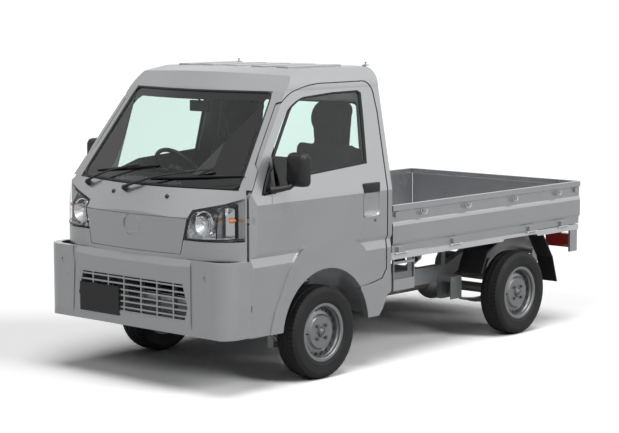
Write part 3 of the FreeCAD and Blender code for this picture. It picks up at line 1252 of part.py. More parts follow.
def bed_headboard():
    """Fixed front wall of the bed with corner posts and its top rail."""
    x0, x1 = S.bed_front - 18, S.bed_front - 4
    low, top = S.bed_floor_height + 0.3, GATE_TOP
    half = GATE_FACE - S.gate_thickness - 10
    wall = box(x0, x0 + 8, -half, half, low, top - 20)
    rail = box(x0, x1, -half, half, top - 30, top)
    ribs = [box(x0, x1, y - 25, y + 25, low, top - 10) for y in (-560, -280, 0, 280, 560)]
    keep("bed_headboard", join([wall, rail] + ribs))


def under_bed():
    """Splash shields, flaps, posts, lamps, tank and exhaust."""
    rear, side = BED_REAR + 4, HALF_WIDTH - 16
    x = REAR_AXLE_X
    shield = slab_y([(x + 390, 430), (x + 330, 560), (x + 200, STRINGER_TOP + 19.7),
                     (x + 190, STRINGER_TOP + 19.7), (x + 318, 556), (x + 378, 430)],
                    505, side - 30)
    flap = slab_y([(x - 255, STRINGER_TOP + 19.7), (x - 365, 460), (x - 420, 290),
                   (x - 428, 290), (x - 373, 462), (x - 263, STRINGER_TOP + 19.7)],
                  580, side - 16)
    keep("mudguards", Part.makeCompound(both(shield).Solids + both(flap).Solids))

    posts = []
    for y in (side - 4.3,):
        post = box(rear + 8, rear + 90, y - 14, y, 476, S.bed_floor_height - 12)
        bracket = box(64, 70, y - 14, y, 430, S.bed_floor_height - 12)
        rear_leg = box(255, 261, y - 14, y, 430, S.bed_floor_height - 12)
        top_bar = box(64, 261, y - 14, y, 588, 603)
        low_bar = box(64, 261, y - 14, y, 430, 498)
        posts.append(join([post]))
        posts.append(join([bracket, rear_leg, top_bar, low_bar]))
    keep("body_brackets", Part.makeCompound([s for p in posts for s in both(p).Solids]))

    lamp = box(rear + 2, rear + 60, 500, side - 42, 500, 590)
    lamp = lamp.makeFillet(8, [edge for edge in lamp.Edges if edge.BoundBox.XMax < rear + 3])
    hanger = box(rear + 20, rear + 40, 540, 600, 590, S.bed_floor_height - 5.3)
    keep("tail_lamps", both(join([lamp, hanger])))

    bar = box(RAIL_REAR - 12, RAIL_REAR - 0.3, -490, 490, 470, 520)
    plate_bar = box(TAIL_X + 27.3, RAIL_REAR - 11, -120, 120, 480, 500)
    keep("rear_bar", join([bar, plate_bar]))

    tank = box(-520, -60, -660, -430, 330, 560)
    tank = tank.makeFillet(30, tank.Edges)
    straps = [box(x0, x0 + 30, -440, -RAIL_OUT - 0.3, 380, 455) for x0 in (-460, -160)]
    keep("fuel_tank", join([tank] + straps))

    muffler = rod((-1380, -200, 340), (-1380, 240, 340), 85)
    pipe = join([rod((440, 190, 380), (300, 190, 300), 22), rod((300, 190, 300),
                (-700, 190, 300), 22), Part.makeSphere(22, Vector(300, 190, 300)),
                Part.makeSphere(22, Vector(-700, 190, 300)),
                rod((-700, 190, 300), (-860, 190, 440), 22),
                Part.makeSphere(22, Vector(-860, 190, 440)),
                rod((-860, 190, 440), (-1180, 190, 440), 22),
                Part.makeSphere(22, Vector(-1180, 190, 440)),
                rod((-1180, 190, 440), (-1370, 190, 360), 22),
                rod((-1380, -150, 340), (-1640, -150, 330), 20)])
    hangers = [box(-1330, -1270, y - 8, y + 8, 400, KICK_FOOT + 4.7) for y in (-150, 190)]
    keep("exhaust", join([muffler, pipe] + hangers))


# -------------------------------------------------------------------- build

cab_side_frames()
cab_roof()
cab_back_panel()
cab_nose()
cab_glass()
for side_name, side_sign in SIDES:
    door_pieces(side_name, side_sign)
front_bumper()
headlamps()
wipers()
wheels()
frame()
cab_floor()
engine_and_driveline()
rear_axle()
rear_suspension()
for side_name, side_sign in SIDES:
    knuckle("knuckle_" + side_name, side_sign)
front_suspension()
column_centre, column_axis = steering()
dashboard(column_centre, column_axis)
seats()
cabin_fittings()
for side_name, side_sign in SIDES:
    side_gate(side_name, side_sign)
tailgate()
bed_floor()
bed_headboard()
under_bed()
doc.recompute()

for item in doc.Objects:
    if "Invalid" in item.State or "Error" in item.State:
        raise RuntimeError("object failed: %s %s" % (item.Name, item.State))
for name, item in nodes.items():
    if item.Shape.isNull() or not item.Shape.isValid():
        raise RuntimeError("shape of %s is not valid" % name)
os.makedirs("parts", exist_ok=True)
for name, item in nodes.items():
    item.Shape.exportStep("parts/%s.step" % name)
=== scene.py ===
import json
import math

import bmesh
import bpy
from mathutils import Matrix, Vector
from mathutils.bvhtree import BVHTree


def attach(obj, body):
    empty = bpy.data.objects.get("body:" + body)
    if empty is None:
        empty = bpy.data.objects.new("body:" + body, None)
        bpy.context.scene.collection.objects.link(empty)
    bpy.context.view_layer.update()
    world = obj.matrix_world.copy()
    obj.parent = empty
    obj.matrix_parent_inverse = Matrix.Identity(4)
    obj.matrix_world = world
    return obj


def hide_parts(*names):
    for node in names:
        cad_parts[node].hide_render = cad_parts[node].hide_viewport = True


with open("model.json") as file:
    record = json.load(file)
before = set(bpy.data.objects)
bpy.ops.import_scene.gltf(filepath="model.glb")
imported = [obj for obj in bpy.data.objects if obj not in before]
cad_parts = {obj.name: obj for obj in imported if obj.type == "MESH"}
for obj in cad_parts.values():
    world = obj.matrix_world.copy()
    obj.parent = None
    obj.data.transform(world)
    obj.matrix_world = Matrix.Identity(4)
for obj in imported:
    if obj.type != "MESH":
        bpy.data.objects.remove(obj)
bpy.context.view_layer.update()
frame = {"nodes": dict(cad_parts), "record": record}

MM = 0.001
LEFT, RIGHT = 1, -1
SIDES = (("left", LEFT), ("right", RIGHT))


# ---------------------------------------------------------------- camera, light

CAMERA_PLACE = (8.63835, 7.62748, 2.16381)
CAMERA_TURN = (42.037, 6.703, -0.11)    # azimuth, elevation and roll in degrees
LENS_LENGTH = 107.96
LENS_SHIFT = (-0.00505, -0.00332)
WORLD_LIGHT = 0.035                     # strength of the world as light
SKY_SIDE = (-0.1, 0.75, 0.65)           # where its reflection is brightest
SKY_RANGE = (("From Min", -0.2), ("From Max", 0.8), ("To Min", 0.75), ("To Max", 1.35))
SUNS = (("overhead", 60, 76, 1.45, 32), ("left_bank", 100, 38, 1.2, 26),
        ("front_bank", 15, 40, 0.5, 26))
FLOOR_REACH, FLOOR_Z = 60, -0.001
FLOOR_COLOR, FLOOR_GLOSS = 0.8, 0.7     # for light that bounces, and in reflections
FLOOR_LIGHT, FLOOR_SEEN = 0.78, 1.03    # what the lamps give it, and how white it looks


def make_camera():
    """Long lens from ahead and to the truck's left, at the photographed angle."""
    azimuth, elevation, roll = (math.radians(angle) for angle in CAMERA_TURN)
    data = bpy.data.cameras.new("camera")
    camera = bpy.data.objects.new("camera", data)
    bpy.context.scene.collection.objects.link(camera)
    back = Vector((math.cos(azimuth) * math.cos(elevation),
                   math.sin(azimuth) * math.cos(elevation), math.sin(elevation)))
    right = Vector((0, 0, 1)).cross(back).normalized()
    up = back.cross(right)
    turn = Matrix((right, up, back)).transposed().to_4x4()
    turn = turn @ Matrix.Rotation(roll, 4, "Z")
    camera.matrix_world = Matrix.Translation(CAMERA_PLACE) @ turn
    data.sensor_width = 36
    data.lens = LENS_LENGTH
    data.shift_x, data.shift_y = LENS_SHIFT
    data.clip_end = 200
    bpy.context.scene.camera = camera


def sun(name, azimuth, elevation, strength, spread):
    """Distant soft light from an azimuth from +X toward +Y, angles in degrees."""
    data = bpy.data.lights.new(name, "SUN")
    data.energy = strength
    data.angle = math.radians(spread)
    light = bpy.data.objects.new(name, data)
    bpy.context.scene.collection.objects.link(light)
    turn, rise = math.radians(azimuth), math.radians(elevation)
    toward = Vector((math.cos(turn) * math.cos(rise), math.sin(turn) * math.cos(rise),
                     math.sin(rise)))
    light.rotation_euler = toward.to_track_quat("Z", "Y").to_euler()


def math_node(nodes, links, operation, first, second):
    """Result of a Math node on two sockets or numbers."""
    node = nodes.new("ShaderNodeMath")
    node.operation = operation
    for socket, value in zip(node.inputs, (first, second)):
        if isinstance(value, float):
            socket.default_value = value
        else:
            links.new(value, socket)
    return node.outputs[0]


def mixed(nodes, links, factor, first, second):
    """The first value where the factor is 0, the second where it is 1."""
    mix = nodes.new("ShaderNodeMix")
    links.new(factor, mix.inputs["Factor"])
    for socket, value in ((mix.inputs["A"], first), (mix.inputs["B"], second)):
        if isinstance(value, float):
            socket.default_value = value
        else:
            links.new(value, socket)
    return mix.outputs["Result"]


def seen_white(nodes, links, strength, shown, reflected):
    """Strength for light, for what camera and glass rays see, and for gloss."""
    path = nodes.new("ShaderNodeLightPath").outputs
    direct = math_node(nodes, links, "MAXIMUM", path["Is Camera Ray"],
                       path["Is Transmission Ray"])
    first = math_node(nodes, links, "LESS_THAN", path["Diffuse Depth"], 0.5)
    gloss = math_node(nodes, links, "MULTIPLY", path["Is Glossy Ray"], first)
    return mixed(nodes, links, gloss, mixed(nodes, links, direct, strength, shown), reflected)


def make_world():
    """White all round; in reflections it is brighter up on the truck's left."""
    world = bpy.data.worlds.new("studio")
    world.use_nodes = True
    nodes, links = world.node_tree.nodes, world.node_tree.links
    background = nodes["Background"]
    background.inputs["Color"].default_value = (1, 1, 1, 1)
    toward = nodes.new("ShaderNodeVectorMath")
    toward.operation = "DOT_PRODUCT"
    links.new(nodes.new("ShaderNodeTexCoord").outputs["Generated"], toward.inputs[0])
    toward.inputs[1].default_value = SKY_SIDE
    sky = nodes.new("ShaderNodeMapRange")
    links.new(toward.outputs["Value"], sky.inputs["Value"])
    for socket, value in SKY_RANGE:
        sky.inputs[socket].default_value = value
    links.new(seen_white(nodes, links, WORLD_LIGHT, 1.0, sky.outputs["Result"]),
              background.inputs["Strength"])
    bpy.context.scene.world = world


def make_studio():
    """White floor and three soft suns."""
    bpy.context.scene.view_settings.view_transform = "Standard"
    mesh = bpy.data.meshes.new("floor")
    corners = ((-1, -1), (1, -1), (1, 1), (-1, 1))
    mesh.from_pydata([(x * FLOOR_REACH, y * FLOOR_REACH, FLOOR_Z) for x, y in corners], [],
                     [(0, 1, 2, 3)])
    floor = bpy.data.objects.new("floor", mesh)
    bpy.context.scene.collection.objects.link(floor)
    material = bpy.data.materials.new("floor")
    material.use_nodes = True
    nodes, links = material.node_tree.nodes, material.node_tree.links
    nodes.remove(nodes["Principled BSDF"])
    diffuse = nodes.new("ShaderNodeBsdfDiffuse")
    white = nodes.new("ShaderNodeCombineColor")
    share = seen_white(nodes, links, FLOOR_COLOR, FLOOR_SEEN / FLOOR_LIGHT, FLOOR_GLOSS)
    for channel in white.inputs:
        links.new(share, channel)
    links.new(white.outputs["Color"], diffuse.inputs["Color"])
    links.new(diffuse.outputs[0], nodes["Material Output"].inputs["Surface"])
    mesh.materials.append(material)
    for row in SUNS:
        sun(*row)


# -------------------------------------------------------------------- materials

def principled(name, color, roughness, metallic=0.0, **sockets):
    """New material; further sockets are named with underscores for spaces."""
    material = bpy.data.materials.new(name)
    material.use_nodes = True
    shader = material.node_tree.nodes["Principled BSDF"]
    shader.inputs["Base Color"].default_value = (*color, 1)
    shader.inputs["Roughness"].default_value = roughness
    shader.inputs["Metallic"].default_value = metallic
    for socket, value in sockets.items():
        shader.inputs[socket.replace("_", " ")].default_value = value
    return material


def noise(material, scale, detail):
    """Noise that stays with the object; the scale is in waves per metre."""
    nodes, links = material.node_tree.nodes, material.node_tree.links
    coordinates = nodes.new("ShaderNodeTexCoord")
    texture = nodes.new("ShaderNodeTexNoise")
    texture.inputs["Scale"].default_value = scale
    texture.inputs["Detail"].default_value = detail
    links.new(coordinates.outputs["Object"], texture.inputs["Vector"])
    return texture.outputs["Fac"]


def ramp(material, factor, stops):
    """Colour ramp over a factor; a stop's value is a grey or a colour."""
    node = material.node_tree.nodes.new("ShaderNodeValToRGB")
    elements = node.color_ramp.elements
    while len(elements) < len(stops):
        elements.new(0.5)
    for element, (position, value) in zip(elements, stops):
        element.position = position
        color = value if isinstance(value, tuple) else (value, value, value)
        element.color = (*color, 1)
    material.node_tree.links.new(factor, node.inputs["Fac"])
    return node.outputs["Color"]


def bump(material, height, strength, distance):
    """Roughen the shader's normal by a height."""
    nodes, links = material.node_tree.nodes, material.node_tree.links
    node = nodes.new("ShaderNodeBump")
    node.inputs["Strength"].default_value = strength
    node.inputs["Distance"].default_value = distance
    links.new(height, node.inputs["Height"])
    links.new(node.outputs["Normal"], nodes["Principled BSDF"].inputs["Normal"])


def vary(material, socket, factor, stops):
    """Drive a shader socket by a ramp over a factor."""
    shader = material.node_tree.nodes["Principled BSDF"]
    material.node_tree.links.new(ramp(material, factor, stops), shader.inputs[socket])


def varied(name, color, roughness, metallic, socket, scale, detail, stops, **sockets):
    """Plain material with one socket varied by noise."""
    material = principled(name, color, roughness, metallic, **sockets)
    vary(material, socket, noise(material, scale, detail), stops)
    return material


def silver_paint(name, color, roughness=0.3, coat=1.0):
    """Bright metallic paint: fine flake in the colour, clear coat over it."""
    material = principled(name, color, roughness, 0.72, Coat_Weight=coat,
                          Coat_Roughness=0.04, Specular_IOR_Level=0.5)
    tint = tuple(min(1, c * 1.06) for c in color)
    shade = tuple(c * 0.93 for c in color)
    vary(material, "Base Color", noise(material, 900, 1), [(0.4, shade), (0.6, tint)])
    vary(material, "Roughness", noise(material, 6, 3),
         [(0.3, roughness - 0.03), (0.7, roughness + 0.04)])
    bump(material, noise(material, 1400, 0), 0.035, 0.0002)
    return material


def grained_plastic(name, color, roughness, scale=260, depth=0.25):
    """Dull plastic, rubber or cloth with a fine grain."""
    material = principled(name, color, roughness, Specular_IOR_Level=0.4)
    bump(material, noise(material, scale, 3), depth, 0.0006)
    vary(material, "Roughness", noise(material, 9, 3),
         [(0.3, roughness - 0.06), (0.7, roughness + 0.05)])
    return material


PAINTS = (("body_paint", (0.38, 0.386, 0.398)),
          ("bed_paint", (0.62, 0.626, 0.64), 0.36, 0.6),
          ("frame_paint", (0.30, 0.305, 0.31), 0.42, 0.4),
          ("hook_steel", (0.40, 0.40, 0.41), 0.35, 0.3),
          ("wheel_silver", (0.22, 0.224, 0.23), 0.38, 0.4))
GRAINED = (("black_plastic", (0.012, 0.012, 0.013), 0.42),
           ("interior_plastic", (0.035, 0.036, 0.038), 0.6),
           ("seat_cloth", (0.03, 0.031, 0.034), 0.85, 900, 0.6),
           ("plate_white", (0.01, 0.01, 0.011), 0.35, 60, 0.05),
           ("cast_metal", (0.2, 0.205, 0.21), 0.6, 120, 0.4),
           ("tyre_rubber", (0.004, 0.004, 0.0042), 0.7, 180, 0.2),
           ("rubber", (0.010, 0.010, 0.011), 0.55, 300, 0.12))
# name, colour, roughness, metallic, then the noise's scale and detail and its two ends
UNEVEN = (("hub_steel", (0.16, 0.16, 0.165), 0.42, 0.9, 60, 4, 0.3, 0.55),
          ("lamp_case", (0.6, 0.61, 0.62), 0.14, 0.95, 30, 2, 0.1, 0.2),
          ("glass_border", (0.006, 0.006, 0.007), 0.12, 0.0, 5, 2, 0.08, 0.16),
          ("mirror_glass", (0.8, 0.82, 0.83), 0.03, 1.0, 3, 1, 0.02, 0.035),
          ("reflector_chrome", (0.8, 0.81, 0.82), 0.1, 1.0, 40, 2, 0.06, 0.16))
LENSES = (("tail_red", (0.45, 0.01, 0.01), 0.12, 0.8, 14, (0.4, 0.008, 0.008),
           (0.5, 0.014, 0.012)),
          ("amber_bulb", (0.85, 0.24, 0.02), 0.2, 0.6, 30, (0.8, 0.2, 0.015),
           (0.9, 0.28, 0.03)),
          ("amber_lens", (0.8, 0.22, 0.015), 0.15, 0.6, 12, (0.75, 0.19, 0.01),
           (0.85, 0.25, 0.02)))


def make_materials():
    """Every finish by name."""
    made = {row[0]: silver_paint(*row) for row in PAINTS}
    made.update((row[0], grained_plastic(*row)) for row in GRAINED)
    for name, color, roughness, metallic, scale, detail, low, high in UNEVEN:
        made[name] = varied(name, color, roughness, metallic, "Roughness", scale, detail,
                            [(0.3, low), (0.7, high)])
    for name, color, roughness, coat, scale, low, high in LENSES:
        made[name] = varied(name, color, roughness, 0.0, "Base Color", scale, 1,
                            [(0.3, low), (0.7, high)], Coat_Weight=coat)
    made["clear_lens"] = varied("clear_lens", (0.75, 0.76, 0.78), 0.12, 0.0, "Roughness", 25, 2,
                                [(0.3, 0.08), (0.7, 0.2)], Coat_Weight=0.7)
    made["exhaust_steel"] = varied("exhaust_steel", (0.3, 0.28, 0.26), 0.5, 0.9, "Base Color",
                                   12, 4, [(0.35, (0.24, 0.21, 0.19)),
                                           (0.7, (0.4, 0.39, 0.38))])
    made["clear_glass"] = tinted_glass("clear_glass", (0.80, 0.92, 0.88), 0.25)
    made["lamp_lens"] = tinted_glass("lamp_lens", (0.97, 0.98, 0.99), 0.1)
    return made


def tinted_glass(name, color, tint):
    """Thin glass: see-through with a tint and a mirror-like coat by angle."""
    material = bpy.data.materials.new(name)
    material.use_nodes = True
    nodes, links = material.node_tree.nodes, material.node_tree.links
    shader = nodes["Principled BSDF"]
    shader.inputs["Base Color"].default_value = (*color, 1)
    shader.inputs["Roughness"].default_value = 0.02
    shader.inputs["Transmission Weight"].default_value = 1.0
    shader.inputs["IOR"].default_value = 1.45
    clear = nodes.new("ShaderNodeBsdfTransparent")
    clear.inputs["Color"].default_value = (*(1 - tint * (1 - c) * 2 for c in color), 1)
    gloss = nodes.new("ShaderNodeBsdfGlossy")
    gloss.inputs["Roughness"].default_value = 0.02
    fresnel = nodes.new("ShaderNodeFresnel")
    fresnel.inputs["IOR"].default_value = 1.5
    facing = nodes.new("ShaderNodeNewGeometry")
    entering = math_node(nodes, links, "SUBTRACT", 1.0, facing.outputs["Backfacing"])
    share = math_node(nodes, links, "MULTIPLY", fresnel.outputs["Fac"], entering)
    mix = nodes.new("ShaderNodeMixShader")
    links.new(share, mix.inputs[0])
    links.new(clear.outputs[0], mix.inputs[1])
    links.new(gloss.outputs[0], mix.inputs[2])
    links.new(mix.outputs[0], nodes["Material Output"].inputs["Surface"])
    return material


def dress_frame(materials):
    """Each CAD node gets its record slot's finish, the lower grille the body's."""
    for row in frame["record"]["subparts"]:
        node = frame["nodes"][row["node"]]
        material = materials[row["material_slot"]]
        for place in node.material_slots:
            place.material = material
        if not node.material_slots:
            node.data.materials.append(material)
    for place in frame["nodes"]["lower_grille"].material_slots:
        place.material = materials["body_paint"]


# --------------------------------------------------------------- mesh helpers

def mesh_object(name, vertices, faces, body, slot_name, smooth=True):
    """New piece from points in millimetres, in the finish of its record slot."""
    mesh = bpy.data.meshes.new(name)
    mesh.from_pydata([Vector(v) * MM for v in vertices], [], faces)
    mesh.validate()
    work = bmesh.new()
    work.from_mesh(mesh)
    bmesh.ops.recalc_face_normals(work, faces=work.faces)
    work.to_mesh(mesh)
    work.free()
    piece = bpy.data.objects.new(name, mesh)
    bpy.context.scene.collection.objects.link(piece)
    mesh.materials.append(materials[slot_name])
    if smooth:
        mesh.shade_smooth()
        mesh.set_sharp_from_angle(angle=math.radians(35))
    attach(piece, body)
    return piece


def loft(rings, closed=True, capped=False):
    """Faces between rings of equal length, with optional end caps."""
    count = len(rings[0])
    vertices = [point for ring in rings for point in ring]
    faces = []
    for row in range(len(rings) - 1):
        for k in range(count if closed else count - 1):
            a, b = row * count + k, row * count + (k + 1) % count
            faces.append((a, b, b + count, a + count))
    if capped:
        faces.append(tuple(range(count))[::-1])
        faces.append(tuple((len(rings) - 1) * count + k for k in range(count)))
    return vertices, faces


def merged(*parts):
    """Several (vertices, faces) as one."""
    vertices, faces = [], []
    for part_vertices, part_faces in parts:
        base = len(vertices)
        vertices += list(part_vertices)
        faces += [tuple(base + k for k in face) for face in part_faces]
    return vertices, faces


def spun(profile, centre, steps, axis="Y"):
    """Revolve (radius, along) points about the Y or X axis through a centre."""
    rings = []
    for k in range(steps):
        angle = math.radians(360 * k / steps)
        c, s = math.cos(angle), math.sin(angle)
        ring = []
        for radius, along in profile:
            if axis == "Y":
                offset = (radius * c, along, radius * s)
            else:
                offset = (along, radius * c, radius * s)
            ring.append(tuple(a + b for a, b in zip(centre, offset)))
        rings.append(ring)
    rings.append(rings[0])
    return loft(rings, closed=False)


def swept(path, radius, sides):
    """Round rod through points, with its ends capped; radius is one value or a list."""
    points = [Vector(p) for p in path]
    rings = []
    normal = None
    for k, point in enumerate(points):
        ahead = points[k + 1] if k + 1 < len(points) else point
        behind = points[k - 1] if k else point
        tangent = (ahead - behind).normalized()
        if normal is None:
            guess = Vector((0, 0, 1)) if abs(tangent.z) < 0.9 else Vector((1, 0, 0))
            normal = tangent.cross(guess).normalized()
        normal = (normal - tangent * normal.dot(tangent)).normalized()
        other = tangent.cross(normal)
        size = radius[k] if isinstance(radius, (list, tuple)) else radius
        rings.append([tuple(point + (normal * math.cos(2 * math.pi * s / sides)
                                     + other * math.sin(2 * math.pi * s / sides)) * size)
                      for s in range(sides)])
    return loft(rings, capped=True)


def block(x0, x1, y0, y1, z0, z1, radius, steps):
    """Box with rounded edges."""
    work = bmesh.new()
    bmesh.ops.create_cube(work, size=1)
    for vertex in work.verts:
        vertex.co = Vector(((x0 + x1) / 2 + vertex.co.x * (x1 - x0),
                            (y0 + y1) / 2 + vertex.co.y * (y1 - y0),
                            (z0 + z1) / 2 + vertex.co.z * (z1 - z0)))
    bmesh.ops.bevel(work, geom=list(work.edges), offset=radius, segments=steps, profile=0.5,
                    affect="EDGES", clamp_overlap=True)
    work.verts.index_update()
    out = ([tuple(v.co) for v in work.verts],
           [tuple(v.index for v in face.verts) for face in work.faces])
    work.free()
    return out


def flipped(part):
    """Mirror image across the truck's centre plane."""
    vertices, faces = part
    return [(x, -y, z) for x, y, z in vertices], [face[::-1] for face in faces]


def on_side(part, side):
    """A part drawn on the left, on the side asked for."""
    return part if side == LEFT else flipped(part)


def rounded(points, radius, steps=6):
    """Closed outline with its corners rounded; radius is one value or a list."""
    result = []
    count = len(points)
    for k, point in enumerate(points):
        size = radius[k] if isinstance(radius, (list, tuple)) else radius
        here = Vector(point)
        before, after = Vector(points[k - 1]), Vector(points[(k + 1) % count])
        a = (before - here).normalized()
        b = (after - here).normalized()
        angle = a.angle(b)
        cut = min(size / math.tan(angle / 2), (before - here).length * 0.49,
                  (after - here).length * 0.49)
        start, end = here + a * cut, here + b * cut
        for s in range(steps + 1):
            t = s / steps
            one = start.lerp(here, t)
            two = here.lerp(end, t)
            result.append(tuple(one.lerp(two, t)))
    return result


def spaced(outline, pitch, closed=True):
    """The outline resampled at an even pitch, in the plane or in space."""
    points = [Vector(p) for p in outline]
    if closed:
        points.append(points[0])
    lengths = [(b - a).length for a, b in zip(points, points[1:])]
    total = sum(lengths)
    count = max(4, round(total / pitch))
    result, at, walked = [], 0, 0.0
    for k in range(count if closed else count + 1):
        goal = total * k / count
        while at < len(lengths) - 1 and walked + lengths[at] < goal:
            walked += lengths[at]
            at += 1
        share = (goal - walked) / lengths[at] if lengths[at] else 0
        result.append(tuple(points[at].lerp(points[at + 1], min(1, share))))
    return result


AHEAD, BESIDE = 3000, 2000      # where rays start, clear of the truck


class Skin:
    """Surface of some CAD nodes, to lay pieces on."""

    def __init__(self, *names):
        vertices, faces = [], []
        for name in names:
            node = frame["nodes"][name]
            base = len(vertices)
            vertices += [node.matrix_world @ v.co / MM for v in node.data.vertices]
            faces += [tuple(base + k for k in p.vertices) for p in node.data.polygons]
        self.tree = BVHTree.FromPolygons(vertices, faces)

    def hit(self, origin, direction):
        """Where a ray meets the surface, or the nearest point, and its outward normal."""
        point, normal, _, _ = self.tree.ray_cast(Vector(origin), Vector(direction))
        if point is None:
            point, normal, _, _ = self.tree.find_nearest(Vector(origin))
        if normal.dot(Vector(direction)) > 0:
            normal = -normal
        return point, normal

    def ahead(self, y, z):
        return self.hit((AHEAD, y, z), (-1, 0, 0))

    def from_front(self, outline):
        return [self.ahead(y, z) for y, z in outline]

    def from_side(self, outline, side):
        return [self.hit((x, side * BESIDE, z), (0, -side, 0)) for x, z in outline]


def bead(path, width, height, sink=1.5, closed=True):
    """Rubber strip of given width and height laid along points on a surface."""
    rings = []
    count = len(path)
    for k, (point, normal) in enumerate(path):
        ahead = path[(k + 1) % count][0] if closed or k + 1 < count else point
        behind = path[k - 1][0] if closed or k else point
        across = (ahead - behind).normalized().cross(normal).normalized()
        ring = []
        for u, v in ((-0.5, None), (-0.5, 0.5), (-0.3, 1), (0.3, 1), (0.5, 0.5), (0.5, None)):
            rise = -sink if v is None else height * v
            ring.append(tuple(point + across * width * u + normal * rise))
        rings.append(ring)
    if closed:
        rings.append(rings[0])
    return loft(rings, capped=not closed)


def band(outer_path, inner_path, rise, rows=3):
    """Thin skin between two matched paths that lie on a surface."""
    rings = []
    for row in range(rows + 1):
        t = row / rows
        ring = []
        for (a, n), (b, m) in zip(outer_path, inner_path):
            ring.append(tuple(a.lerp(b, t) + n.lerp(m, t).normalized() * rise))
        rings.append(ring)
    return loft(rings)


def inset(outline, by):
    """Closed outline moved inward, whichever way it runs."""
    points = [Vector(p) for p in outline]
    area = sum(a.x * b.y - b.x * a.y for a, b in zip(points, points[1:] + points[:1]))
    sign = 1 if area > 0 else -1
    result = []
    for k, point in enumerate(points):
        along = (points[(k + 1) % len(points)] - points[k - 1]).normalized()
        result.append(tuple(point + Vector((-along.y, along.x)) * by * sign))
    return result


# ------------------------------------------------------------------ cab glass

SCREEN = ((-645, 1123), (645, 1123), (551, 1634), (-551, 1634))
REAR_WINDOW = ((-515, 1170), (515, 1170), (480, 1545), (-480, 1545))
DOOR_WINDOW = ((1203, 1102), (1379, 1088), (1352, 1140), (1285, 1258), (1180, 1404),
               (1083, 1538), (1060, 1562), (1000, 1594), (949, 1606), (714, 1622),
               (492, 1625), (462, 1610), (470, 1467), (493, 1205), (980, 1174))


SCREEN_FOOT, SCREEN_HEIGHT = 1123, 511
PRINT_FOOT, PRINT_HEAD = 66, 50         # width of the border below and above
CAMERA_COVER = ((-62, 1600), (62, 1600), (80, 1628), (-80, 1628))
MIRROR_SAIL = ((1290, 1094), (1379, 1090), (1352, 1140), (1290, 1250))


def screen_trim():
    """Black border printed on the screen, its rubber and the camera cover."""
    glass = Skin("cab_glass")
    outer_line = spaced(rounded(SCREEN, 52), 22)
    clear = SCREEN_HEIGHT - PRINT_FOOT - PRINT_HEAD
    inner_line = [(y * (0.948 if z > 1200 else 0.945),
                   SCREEN_FOOT + PRINT_FOOT + (z - SCREEN_FOOT) * clear / SCREEN_HEIGHT)
                  for y, z in outer_line]
    band_part = band(glass.from_front(outer_line), glass.from_front(inner_line), 0.6)
    mesh_object("screen_border", *band_part, "chassis", "glass_border")
    edge = glass.from_front(inset(outer_line, 2.0))
    mesh_object("screen_rubber", *bead(edge, 15, 7.5), "chassis", "rubber")
    cover_line = spaced(rounded(CAMERA_COVER, 8), 12)
    middle = [(0, 1612)] * len(cover_line)
    mesh_object("camera_cover", *band(glass.from_front(cover_line),
                                      glass.from_front(middle), 0.9, 2),
                "chassis", "glass_border")


def rear_window_trim():
    """Rubber round the rear window."""
    line = spaced(rounded(REAR_WINDOW, 60), 24)
    path = [(Vector((296, y, z)), Vector((-1, 0, 0))) for y, z in line]
    mesh_object("rear_window_rubber", *bead(path, 26, 9, sink=9), "chassis", "rubber")


def door_window_trim(name, side):
    """Rubber round the door glass and the black panel that carries the mirror."""
    skin = Skin("door_" + name, "door_glass_" + name)
    path = skin.from_side(inset(spaced(rounded(DOOR_WINDOW, 12, 3), 18), 5), side)
    mesh_object("door_window_rubber_" + name, *bead(path, 17, 8, sink=4), "door_" + name,
                "rubber")
    outline = spaced(rounded(MIRROR_SAIL, 8, 3), 10)
    middle = [(1312, 1130)] * len(outline)
    cover = band(skin.from_side(outline, side), skin.from_side(middle, side), 1.5)
    mesh_object("mirror_sail_" + name, *cover, "door_" + name, "black_plastic")


# ----------------------------------------------------------------- headlamps

LAMP_EDGE_SIDE = ((1512, 865), (1545, 864))
LAMP_EDGE_FRONT = ((650, 860), (406, 852), (398, 855), (396, 862), (425, 993), (429, 1000),
                   (438, 1004), (600, 1040), (630, 1050))
BOWL_PLACE, BULB_PLACE = (1600, 500, 938), (1568, 500, 938)
TURN_BULB_PLACE = (1545, 648, 960)
SHEET_REACH = 7     # the case's faces this near the lens are the sheet behind it


def lamp_housings():
    """The lamp bodies without the sheet that would close them behind the lens."""
    node = frame["nodes"]["headlamp_cases"]
    lens = Skin("headlamp_lenses").tree
    vertices = [node.matrix_world @ v.co / MM for v in node.data.vertices]
    near = [(lens.find_nearest(v)[0] - v).length < SHEET_REACH for v in vertices]
    faces = [tuple(p.vertices) for p in node.data.polygons
             if not all(near[k] for k in p.vertices)]
    housings = mesh_object("lamp_housings", vertices, faces, "chassis", "lamp_case")
    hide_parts("headlamp_cases")


def headlamp_trim(name, side):
    """Reflector bowl with its rim, headlamp bulb with its cap, and turn bulb."""
    bowl = [(14 + 50 * math.sqrt(t), -44 + 52 * t)
            for t in (0.0, 0.06, 0.15, 0.3, 0.5, 0.75, 1.0)]
    dish = spun(bowl, BOWL_PLACE, 48, axis="X")
    rim = spun([(64, 8), (70, 10), (70, 2), (64, 0)], BOWL_PLACE, 48, axis="X")
    mesh_object("reflector_" + name, *on_side(merged(dish, rim), side), "chassis",
                "reflector_chrome")
    bulb = spun([(0, 40), (7, 38), (10, 30), (10, -8), (12, -30)], BULB_PLACE, 24, axis="X")
    cap = spun([(0, 46), (13, 44), (17, 36), (17, 28), (13, 26)], BULB_PLACE, 24, axis="X")
    mesh_object("headlamp_bulb_" + name, *on_side(merged(bulb, cap), side), "chassis",
                "reflector_chrome")
    orange = spun([(0, 24), (9, 20), (12, 10), (12, -6), (9, -22)], TURN_BULB_PLACE, 24,
                  axis="X")
    mesh_object("turn_bulb_" + name, *on_side(orange, side), "chassis", "amber_bulb")


